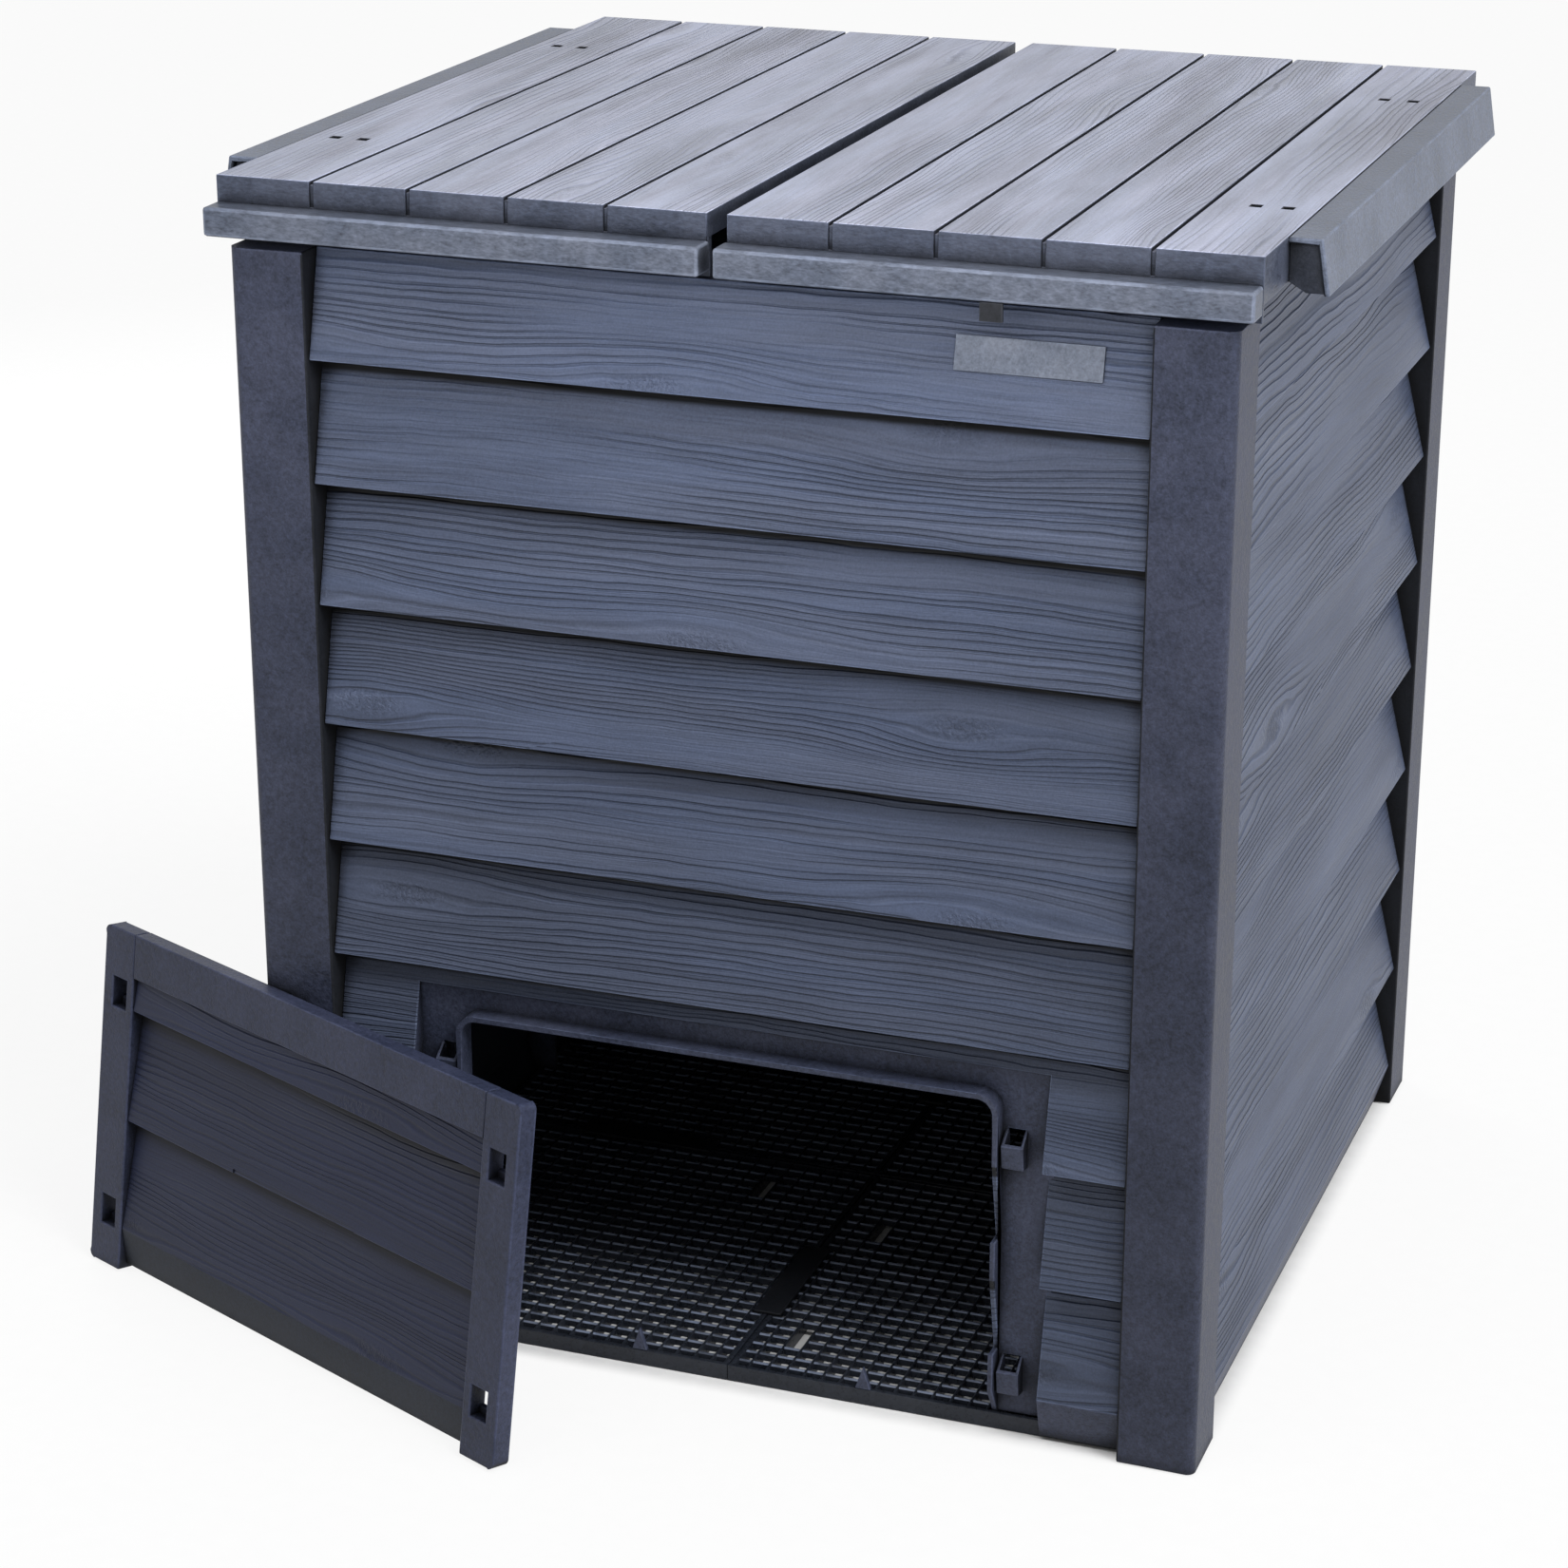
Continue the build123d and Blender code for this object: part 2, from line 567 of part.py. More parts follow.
def door_place():
    """Place of the door, leant back with its top rear edge against the front left post."""
    yaw = radians(DOOR_YAW)
    lean = radians(DOOR_LEAN)
    along = (cos(yaw), sin(yaw))
    back = (-sin(yaw), cos(yaw))
    rear_height = DOOR_TOP * cos(lean) - DOOR_THICKNESS * sin(lean)
    reach = (DOOR_THICKNESS + sin(lean) * rear_height + DOOR_GAP) / cos(lean) + POST_CORNER_RADIUS
    corner = POST_CORNER_RADIUS - BIN_HALF
    x = corner - reach * back[0] + DOOR_ALONG * along[0]
    y = corner - reach * back[1] + DOOR_ALONG * along[1]
    return Pos(x, y, DOOR_THICKNESS * sin(lean)) * Rot(0, 0, DOOR_YAW) * Rot(-DOOR_LEAN, 0, 0)


def door_stile(side):
    """Upright edge of the door with a slot for each hook."""
    outer = side * DOOR_HALF
    stile = block(side * DOOR_INNER_HALF, outer, 0, DOOR_THICKNESS, 0, DOOR_TOP)
    corners = [e for e in stile.edges().filter_by(Axis.Y) if abs(e.center().X - outer) < FIT_GAP]
    stile = fillet(corners, DOOR_CORNER_RADIUS)
    slot_half = HOOK_WIDTH / 2 + DOOR_SLOT_CLEARANCE
    slot_x = side * (HOOK_X + DOOR_SLOT_SHIFT)
    x_limits = (slot_x - slot_half, slot_x + slot_half)
    for bottom in HOOK_BOTTOMS:
        low = bottom + (HOOK_HEIGHT - DOOR_SLOT_HEIGHT) / 2
        stile -= block(*x_limits, -CUT, DOOR_THICKNESS + CUT, low, low + DOOR_SLOT_HEIGHT)
        tab_y = (DOOR_THICKNESS - DOOR_TAB_THICKNESS, DOOR_THICKNESS)
        stile += block(*x_limits, *tab_y, low, low + DOOR_TAB_HEIGHT)
    return stile


def door_panel():
    """Slatted middle of the door with its top rail and grip notch."""
    rail_bottom = DOOR_TOP - DOOR_RAIL
    slope = DOOR_SLAT_LEAN / SLAT_PITCH
    lips = [lip - DOOR_DROP for lip in LIPS if lip < rail_bottom]
    lip_back = DOOR_LIP_DEPTH + DOOR_SLAT_LEAN
    sheet_back = lip_back + DOOR_SHEET
    top_depth = DOOR_LIP_DEPTH + slope * (rail_bottom - lips[-1])
    outer = [(top_depth, rail_bottom)]
    for lip in reversed(lips[1:]):
        outer.append((DOOR_LIP_DEPTH, lip))
        outer.append((lip_back, lip))
    outer.append((DOOR_LIP_DEPTH, lips[0]))
    outer.append((DOOR_KICK_DEPTH, DOOR_KICK_Z))
    inner = [(DOOR_KICK_DEPTH + DOOR_SHEET, DOOR_KICK_Z), (DOOR_LIP_DEPTH + DOOR_SHEET, lips[0])]
    for lip in lips[1:]:
        inner.append((sheet_back, lip))
        inner.append((sheet_back, lip + DOOR_SHEET))
        inner.append((DOOR_LIP_DEPTH + DOOR_SHEET + slope * DOOR_SHEET, lip + DOOR_SHEET))
    inner.append((top_depth + DOOR_SHEET, rail_bottom))
    panel = prism_x(outer + inner, -DOOR_INNER_HALF, DOOR_INNER_HALF)
    panel += block(-DOOR_INNER_HALF, DOOR_INNER_HALF, 0, DOOR_THICKNESS, rail_bottom, DOOR_TOP)
    grip_y = (-CUT, DOOR_LIP_DEPTH + DOOR_SHEET / 2)
    return panel - block(-GRIP_HALF, GRIP_HALF, *grip_y, lips[1], lips[1] + GRIP_HEIGHT)


def floor_clip():
    """Strip that joins two floor quarters across the front seam."""
    y_limits = (-CLIP_NEAR, -CLIP_NEAR - CLIP_LENGTH)
    half = CLIP_WIDTH / 2
    return block(-half, half, *y_limits, GRID_THICKNESS, GRID_THICKNESS + CLIP_THICKNESS)


def all_nodes():
    """Every piece of the bin by name, in its place."""
    nodes = {}
    post = corner_post()
    quarter = grid_quarter()
    clip = floor_clip()
    panel = wall_panel()
    corners = ("front_right", "back_right", "back_left", "front_left")
    walls = ("front", "right", "back", "left")
    for k, corner in enumerate(corners):
        nodes["post_" + corner] = Rot(0, 0, 90 * k) * post
        nodes["floor_" + corner] = Rot(0, 0, 90 * k) * quarter
    nodes["floor_tab_left"] = grid_tab(TAB_X[0])
    nodes["floor_tab_right"] = grid_tab(TAB_X[1])
    for k, wall in enumerate(walls):
        nodes["panel_" + wall] = Rot(0, 0, 90 * k) * panel
        nodes["floor_clip_" + wall] = Rot(0, 0, 90 * k) * clip
    nodes["panel_front"] = front_panel()
    for name, side in (("left", -1), ("right", 1)):
        nodes["hook_lower_" + name] = door_hook(side * HOOK_X, HOOK_BOTTOMS[0])
        nodes["hook_upper_" + name] = door_hook(side * HOOK_X, HOOK_BOTTOMS[1])
    nodes["badge_plate"] = badge()
    deck = lid_deck()
    front = lid_fascia()
    back = mirror(front, about=Plane.XZ)
    skirt = lid_skirt()
    for name, turn in (("right", Rot(0, 0, 0)), ("left", Rot(0, 0, 180))):
        ends = ("front", "back") if name == "right" else ("back", "front")
        nodes["lid_deck_" + name] = turn * deck
        nodes["lid_skirt_" + name] = turn * skirt
        nodes["lid_fascia_" + name + "_" + ends[0]] = turn * front
        nodes["lid_fascia_" + name + "_" + ends[1]] = turn * back
        for end, y in zip(ends, (-HINGE_Y, HINGE_Y)):
            place = name + "_" + end
            nodes["hinge_bracket_" + place] = turn * hinge_bracket(y)
            nodes["hinge_strap_" + place] = turn * hinge_strap(y)
            nodes["hinge_pin_" + place] = turn * hinge_pin(y)
    nodes["lid_catch"] = lid_catch()
    place = door_place()
    nodes["door_stile_left"] = place * door_stile(-1)
    nodes["door_stile_right"] = place * door_stile(1)
    nodes["door_panel"] = place * door_panel()
    return nodes


os.makedirs("parts", exist_ok=True)
for name, shape in all_nodes().items():
    export_step(shape, "parts/" + name + ".step")
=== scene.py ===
"""Looks of the compost bin: softened mouldings, wood-grain plastic, a fine floor mesh, light and camera."""

import math

import bmesh
import bpy
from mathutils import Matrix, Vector


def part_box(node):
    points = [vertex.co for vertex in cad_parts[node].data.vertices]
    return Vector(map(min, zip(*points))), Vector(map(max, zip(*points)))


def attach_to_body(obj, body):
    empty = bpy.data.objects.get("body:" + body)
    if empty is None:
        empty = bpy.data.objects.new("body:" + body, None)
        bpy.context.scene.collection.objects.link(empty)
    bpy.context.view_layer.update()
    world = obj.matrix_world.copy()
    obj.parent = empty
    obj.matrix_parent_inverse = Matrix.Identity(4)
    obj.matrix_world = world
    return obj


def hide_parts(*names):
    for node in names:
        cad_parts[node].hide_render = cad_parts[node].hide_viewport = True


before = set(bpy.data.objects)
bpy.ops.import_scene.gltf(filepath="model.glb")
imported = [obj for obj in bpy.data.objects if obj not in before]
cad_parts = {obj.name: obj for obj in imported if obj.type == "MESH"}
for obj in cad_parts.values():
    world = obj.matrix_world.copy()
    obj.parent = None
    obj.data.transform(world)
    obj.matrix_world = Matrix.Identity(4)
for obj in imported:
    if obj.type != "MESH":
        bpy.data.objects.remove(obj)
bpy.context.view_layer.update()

X_AXIS = Vector((1.0, 0.0, 0.0))
Y_AXIS = Vector((0.0, 1.0, 0.0))
Z_AXIS = Vector((0.0, 0.0, 1.0))
OUTWARD = {"front": -Y_AXIS, "right": X_AXIS, "back": Y_AXIS, "left": -X_AXIS}
SIDES = ("left", "right")
ENDS = ("front", "back")
CORNERS = ("front_right", "back_right", "back_left", "front_left")

# Places and lengths, in metres as in the frame

# Lip of the lowest wall board, and from board to board
LIP_Z = 0.0363
SLAT_PITCH = 0.0895

# Planks of the lid, from the gap between the leaves to their outer edge
PLANK_PITCH = 0.073
LID_INNER_X = 0.007
LID_OUTER_X = 0.372

# Prongs of the hinge straps in the square holes of the lid
PRONG_TOP = 0.8722
PRONG_X = (0.352, 0.330)
PRONG_Y = 0.203
PRONG_REACH = 0.006

# Web inside each end of a lid skirt: its outline across and up the right leaf, and where its faces are
SKIRT_WEB = ((0.372, 0.8725), (0.3916, 0.8725), (0.3968, 0.8392), (0.384, 0.8392), (0.372, 0.846))
SKIRT_WEB_Y = (0.278, 0.282)

# The door stands turned and leant beside the opening; its rail and lowest lip are given up the leaning door
DOOR_YAW = math.radians(-24.4)
DOOR_LEAN = math.radians(7.5)
DOOR_ALONG = Vector((math.cos(DOOR_YAW), math.sin(DOOR_YAW), 0.0))
DOOR_BACK = Vector((-math.sin(DOOR_YAW), math.cos(DOOR_YAW), 0.0))
DOOR_UP = DOOR_BACK * math.sin(DOOR_LEAN) + Vector((0.0, 0.0, math.cos(DOOR_LEAN)))
DOOR_FACE = Vector((0.0, 0.0, math.sin(DOOR_LEAN))) - DOOR_BACK * math.cos(DOOR_LEAN)
DOOR_RAIL_V = 0.240
DOOR_LIP = -0.0323
DOOR_LIP_MARGIN = 0.001

# Floor mesh: cells each way in a quarter, its frame, its bars, and gaps from x to x and from y to y
FLOOR_CELLS = 24
FLOOR_RIM = 0.0045
FLOOR_HALF_BAR = (0.0015, 0.0011)
FLOOR_CROSS_RISE = 0.0055
FLOOR_CROSS_DROP = 0.0010
FLOOR_BAR_CUT = 0.0008
FLOOR_GAPS = (
    (0.030, 0.042, -0.290, -0.266),
    (0.030, 0.042, -0.105, -0.081),
    (-0.0845, -0.0725, -0.062, -0.038),
)

# Where floor bars meet, their ends run into each other and no two faces share a plane
FLOOR_LAP = 0.0010
FLOOR_STEP_DOWN = 0.0002

# Mesh work: welds, and the turns and areas that decide which edges are dissolved, rounded or kept sharp
CAD_WELD = 1e-6
BEVEL_WELD = 5e-6
FLAT_TURN = math.radians(0.5)
ROUNDED_TURN = math.radians(30.0)
SHARP_TURN = math.radians(50.0)
CRISP_TURN = math.radians(4.0)
BROAD_AREA = 2e-4
BEVEL_SEGMENTS = 2

# Which way a face looks: parts of its normal, and of its normal times its place
FACING = 0.3
LEANING = 0.05
LEVEL = 0.6
NEARLY_LEVEL = 0.95
DOWNWARD = -0.5
INWARD = -0.1

# Looks

# Knots: how many for each metre along a board and up it, and in shares of their spacing how far one
# draws the lines round it and how large it is
KNOT_SCALE = (2.3, 8.5)
KNOT_REACH = (0.42, 0.03)
KNOT_FALL = 1.5
KNOT_PULL = 0.8
KNOT_SIZE = (0.10, 0.03)
KNOT_BREAKS = (0.38, 0.62)

# Bends of the grain: noise for each metre along, up and between boards, and how far it moves a line
GRAIN_FLOW = ((2.2, 9.0, 1.0), 0.012)
GRAIN_WAVE = ((8.0, 30.0, 1.0), 0.0034)
GRAIN_RIPPLE = ((30.0, 80.0, 1.0), 0.0010)
SWIRL_LEAST = 0.45
SWIRL_RANGE = 1.1

# Lines of the grain: their spacing, how much closer or wider a board has them, and how they crowd
GRAIN_SPACING = 0.0060
CLOSE_LEAST = 0.75
CLOSE_RANGE = 0.80
GRAIN_CROWD = ((0.9, 62.0, 1.0), 1.3)

# From line to line, where a groove and a ridge fade in, and how far apart the two are
GROOVE_SPAN = (0.20, 0.02)
RIDGE_SPAN = (0.12, 0.02)
RIDGE_OFFSET = 0.24

# Patches where the lines are faint, fine fibres, clouds and streaks: noise for each metre as above
PATCH_SCALE = (2.1, 19.0, 1.0)
PATCH_SPAN = (0.34, 0.56, 0.08, 1.0)
FIBRE_SCALE = (14.0, 480.0, 1.0)
BOARD_CLOUD = (4.0, 24.0, 1.0)
BOARD_STREAK = (3.4, 42.0, 1.0)

# What sets each board's grain apart from the next one's: shifts, and multiples of its chance
BOARD_SHIFT = 9.0
BOARD_LAYER = 3.7
SEED_LAYER = 1.3
SWIRL_MULTIPLE = 5.3
CLOSE_MULTIPLE = 13.7

# Noise for each metre of the plastic's surface, and from what to what it shows
FINE_SPECK = 640.0
COARSE_SPECK = 260.0
CLOUD = 16.0
CLOUD_SPAN = (0.30, 0.70)
SCUFF = 95.0
SCUFF_STRETCH = (1.0, 1.0, 0.25)
SCUFF_SPAN = (0.58, 0.74)
HUE_SPAN = (0.35, 0.65)

# Lightened edges, partly rubbed wear and partly painted highlight, and painted shade from ambient occlusion
# in corners and gaps: noise for each metre, and from what to what they fade
WEAR_AND_HIGHLIGHT_NOISE = 38.0
WEAR_AND_HIGHLIGHT_SPAN = (0.30, 0.62, 0.25, 1.0)
OCCLUSION_SHADE_REACH = 0.02
OCCLUSION_SHADE_NOISE = 55.0
OCCLUSION_SHADE_UNEVEN = 0.10
OCCLUSION_SHADE_SPAN = (0.36, 0.88)

# What is left of the colour where shade is painted: in corners and gaps from ambient occlusion, between lid
# planks, and in the painted shadow under the lips
OCCLUSION_SHADE = 0.10
SEAM_SHADE = 0.50
LIP_SHADE = 0.06

# How much each thing adds to the shade, roughness and height of grained boards and of plain mouldings
# The edge weights lighten the rounded edges, partly as rubbed wear and partly as painted highlight.
BOARD_SHADE = {"base": 1.04, "board": 0.06, "fibres": 0.42, "speck": 0.34, "knot": -0.16, "edge": 0.65}
BOARD_ROUGH = {"base": 0.22, "streak": 0.16, "fibres": 0.10, "grooves": 0.08, "open_face": -0.22}
BOARD_HEIGHT = {"grooves": -0.66, "ridges": 0.16, "fibres": 0.40, "speck": 0.05, "knot": 0.30}
RIDGE_HIGHLIGHT = 0.9
PLAIN_SHADE = {"base": 1.0, "fine": 0.55, "coarse": 0.75, "cloud": 0.18, "scuff": 0.16}
PLAIN_ROUGH = {"coarse": 0.14, "cloud": 0.08, "corner_rough": 0.2}
PLAIN_HEIGHT = {"coarse": 0.6, "fine": 0.4}

# Linear colours, and the drift in hue about them
SLATE = (0.048, 0.059, 0.094)
POST_TONE = (0.0248, 0.0288, 0.0485)
FRAME_TONE = (0.0340, 0.0395, 0.0655)
# The door's board tone is a darker copy of the walls' slate: painted shade for the leant door turned from the
# light.
DOOR_TONE = (0.0140, 0.0178, 0.0400)
DOOR_FRAME_TONE = (0.024, 0.0285, 0.053)
# The lid's tones are lit and shaded copies of one plastic: painted light and sheen on the plank tops, painted
# shade in steps on the skirt, fascia and plank ends.
LID_TONE = (0.222, 0.237, 0.314)
LID_END_TONE = (0.041, 0.048, 0.071)
FASCIA_TONE = (0.062, 0.071, 0.096)
SKIRT_TONE = (0.072, 0.085, 0.120)
# Dark copy of the lid plastic for the web set back inside each skirt end: painted shade.
WEB_TONE = (0.024, 0.028, 0.040)
# Dark copy of the plastic for inner faces, the lid's underside and the door under its lowest lip: painted
# shade.
INNER_TONE = (0.016, 0.019, 0.027)
# Near black for the posts' inner sides beside the boards and the walls of the lid's hinge holes: painted
# shade.
SHADE_TONE = (0.007, 0.008, 0.011)
HINGE_TONE = (0.010, 0.011, 0.014)
TRIM_TONE = (0.096, 0.108, 0.140)
GRID_TONE = (0.015, 0.0175, 0.024)
COOL = (0.96, 0.99, 1.02)
WARM = (1.03, 1.02, 1.00)

PLASTIC_IOR = 1.5
PLASTIC_SPECULAR = 0.24

# Stage

FLOOR_SIZE = 30.0
FLOOR_DROP = 0.0008
FLOOR_GRIT = 60.0
FLOOR_GRIT_SPAN = (0.3, 0.7)
FLOOR_PAINT = (0.64, 0.68)

# The floor is lifted to white where it is seen straight, but not within the bin's walls
GLOW_FROM = (0.345, 0.365)
GLOW_SHARE = 0.88
SKY_LIGHT = 0.44
SKY_SEEN = 0.97

SENSOR = 36.0
FOCAL_PIXELS = 4172.0
PHOTO_PIXELS = 1650.0
CAMERA_PLACE = (0.936, -2.771, 1.437)
CAMERA_AIM = (-0.083, 0.006, 0.339)
CLIP_END = 200.0


# Materials


class Graph:
    """Shader nodes of one tree; each input is another node's output or a plain value."""

    def __init__(self, tree):
        self.tree = tree

    def add(self, kind, inputs, **settings):
        node = self.tree.nodes.new("ShaderNode" + kind)
        for name, value in settings.items():
            setattr(node, name, value)
        for key, value in inputs.items():
            if isinstance(value, bpy.types.NodeSocket):
                self.tree.links.new(value, node.inputs[key])
            else:
                node.inputs[key].default_value = value
        return node

    def math(self, operation, *values):
        return self.add("Math", dict(enumerate(values)), operation=operation).outputs[0]

    def total(self, *values):
        result = values[0]
        for value in values[1:]:
            result = self.math("ADD", result, value)
        return result

    def swing(self, value, reach):
        """A 0 to 1 value turned into one about zero."""
        return self.math("MULTIPLY_ADD", value, 2 * reach, -reach)

    def scaled(self, vector, factors):
        return self.add("VectorMath", {0: vector, 1: factors}, operation="MULTIPLY").outputs[0]

    def dot(self, vector, direction):
        return self.add("VectorMath", {0: vector, 1: direction}, operation="DOT_PRODUCT").outputs["Value"]

    def noise(self, vector, scale=1.0, detail=2.0, roughness=0.5):
        inputs = {"Vector": vector, "Scale": scale, "Detail": detail, "Roughness": roughness}
        return self.add("TexNoise", inputs).outputs[0]

    def drift(self, vector, scales, reach):
        """Smooth noise about zero."""
        return self.swing(self.noise(self.scaled(vector, scales), detail=1.0), reach)

    def span(self, value, low, high, to_low=0.0, to_high=1.0):
        inputs = {"Value": value, "From Min": low, "From Max": high, "To Min": to_low, "To Max": to_high}
        return self.add("MapRange", inputs, interpolation_type="SMOOTHSTEP").outputs[0]

    def blend(self, factor, a, b):
        inputs = {0: factor, 6: (*a, 1.0), 7: (*b, 1.0)}
        return self.add("Mix", inputs, data_type="RGBA").outputs[2]


def new_material(name):
    """A plastic without its looks: the material, its graph and its shader."""
    material = bpy.data.materials.new(name)
    material.use_nodes = True
    material.node_tree.nodes.clear()
    graph = Graph(material.node_tree)
    shader = graph.add("BsdfPrincipled", {"IOR": PLASTIC_IOR, "Specular IOR Level": PLASTIC_SPECULAR})
    output = graph.add("OutputMaterial", {})
    material.node_tree.links.new(shader.outputs[0], output.inputs["Surface"])
    return material, graph, shader


def position(graph):
    """Place on the object, in metres."""
    return graph.add("TexCoord", {}).outputs["Object"]


def boards(graph, along, across, start, pitch, seed):
    """Vector of (way along, way up the board, board's own number) and a random value for each board."""
    place = position(graph)
    course = graph.math("DIVIDE", graph.math("SUBTRACT", graph.dot(place, across), start), pitch)
    number = graph.math("FLOOR", course)
    up = graph.math("MULTIPLY", graph.math("SUBTRACT", course, number), pitch)
    chance = graph.add("TexWhiteNoise", {"W": graph.math("ADD", number, seed)}, noise_dimensions="1D")
    shift = graph.math("MULTIPLY", chance.outputs["Value"], BOARD_SHIFT)
    run = graph.math("ADD", graph.dot(place, along), shift)
    layer = graph.math("MULTIPLY_ADD", number, BOARD_LAYER, seed * SEED_LAYER)
    vector = graph.add("CombineXYZ", {0: run, 1: up, 2: layer}).outputs[0]
    return vector, chance.outputs["Value"]


def grain(graph, vector, chance):
    """Moulded wood grain set by each board's chance: grooves, ridges, fibres and knots, all from 0 to 1."""
    run, up, layer = graph.add("SeparateXYZ", {0: vector}).outputs
    loose = graph.math("FRACT", graph.math("MULTIPLY", chance, SWIRL_MULTIPLE))
    swirl = graph.math("MULTIPLY_ADD", loose, SWIRL_RANGE, SWIRL_LEAST)
    close = graph.math("FRACT", graph.math("MULTIPLY", chance, CLOSE_MULTIPLE))
    density = graph.math("MULTIPLY_ADD", close, CLOSE_RANGE / GRAIN_SPACING, CLOSE_LEAST / GRAIN_SPACING)
    flow = graph.math("MULTIPLY", graph.drift(vector, *GRAIN_FLOW), swirl)
    wave = graph.drift(vector, *GRAIN_WAVE)
    ripple = graph.drift(vector, *GRAIN_RIPPLE)

    # Lines part round each knot
    eyes = graph.add(
        "TexVoronoi",
        {"Vector": graph.scaled(vector, (*KNOT_SCALE, 0.0)), "Scale": 1.0},
        voronoi_dimensions="2D",
    )
    away = eyes.outputs["Distance"]
    eye = graph.add("SeparateXYZ", {0: eyes.outputs["Position"]})
    centre = graph.math("DIVIDE", eye.outputs[1], KNOT_SCALE[1])
    pull = graph.math("POWER", graph.span(away, *KNOT_REACH), KNOT_FALL)
    aside = graph.math("MULTIPLY", graph.math("SUBTRACT", centre, up), pull)
    field = graph.total(up, flow, wave, ripple, graph.math("MULTIPLY", aside, KNOT_PULL))
    bent = graph.add("CombineXYZ", {0: run, 1: field, 2: layer}).outputs[0]

    crowd = graph.drift(bent, *GRAIN_CROWD)
    phase = graph.math("MULTIPLY_ADD", field, density, crowd)
    groove = graph.span(graph.math("PINGPONG", phase, 0.5), *GROOVE_SPAN)
    ridge = graph.span(graph.math("PINGPONG", graph.math("ADD", phase, RIDGE_OFFSET), 0.5), *RIDGE_SPAN)
    patch = graph.span(graph.noise(graph.scaled(bent, PATCH_SCALE), detail=1.0), *PATCH_SPAN)
    fibres = graph.noise(graph.scaled(bent, FIBRE_SCALE), detail=3.0, roughness=0.6)
    crackle = graph.noise(vector, COARSE_SPECK, roughness=0.6)
    knot = graph.math("MULTIPLY", graph.span(away, *KNOT_SIZE), graph.span(crackle, *KNOT_BREAKS))
    return graph.math("MULTIPLY", groove, patch), graph.math("MULTIPLY", ridge, patch), fibres, knot


def edge_wear_and_highlight(graph):
    """Lightened rounding of the moulded edges, partly rubbed wear and partly painted highlight: 1 on the
    softened edges, broken up by noise.
    """
    edge = graph.add("Attribute", {}, attribute_name="edge").outputs["Fac"]
    lightened = graph.span(graph.noise(position(graph), WEAR_AND_HIGHLIGHT_NOISE, detail=3.0), *WEAR_AND_HIGHLIGHT_SPAN)
    return graph.math("MULTIPLY", edge, lightened)


def painted_occlusion_shade(graph):
    """Painted shade in corners and gaps, from ambient occlusion broken up by noise: 0 where it is darkest, 1
    on open faces.
    """
    near = graph.add("AmbientOcclusion", {"Distance": OCCLUSION_SHADE_REACH}, samples=6)
    uneven = graph.swing(graph.noise(position(graph), OCCLUSION_SHADE_NOISE, detail=3.0), OCCLUSION_SHADE_UNEVEN)
    return graph.span(graph.math("ADD", near.outputs["AO"], uneven), *OCCLUSION_SHADE_SPAN)


def colour_of(graph, tone, hue_noise, shade):
    """Tone with a drift in hue, times its shade."""
    cool = tuple(c * f for c, f in zip(tone, COOL))
    warm = tuple(c * f for c, f in zip(tone, WARM))
    hue = graph.blend(graph.span(hue_noise, *HUE_SPAN), cool, warm)
    return graph.add("VectorMath", {0: hue, "Scale": shade}, operation="SCALE").outputs[0]


def attach(material, graph, shader, colour, rough, height, depth):
    """Give a shader its colour, roughness and bump."""
    bump = graph.add("Bump", {"Strength": 1.0, "Distance": depth, "Height": height})
    link = material.node_tree.links.new
    link(colour, shader.inputs["Base Color"])
    link(rough, shader.inputs["Roughness"])
    link(bump.outputs[0], shader.inputs["Normal"])


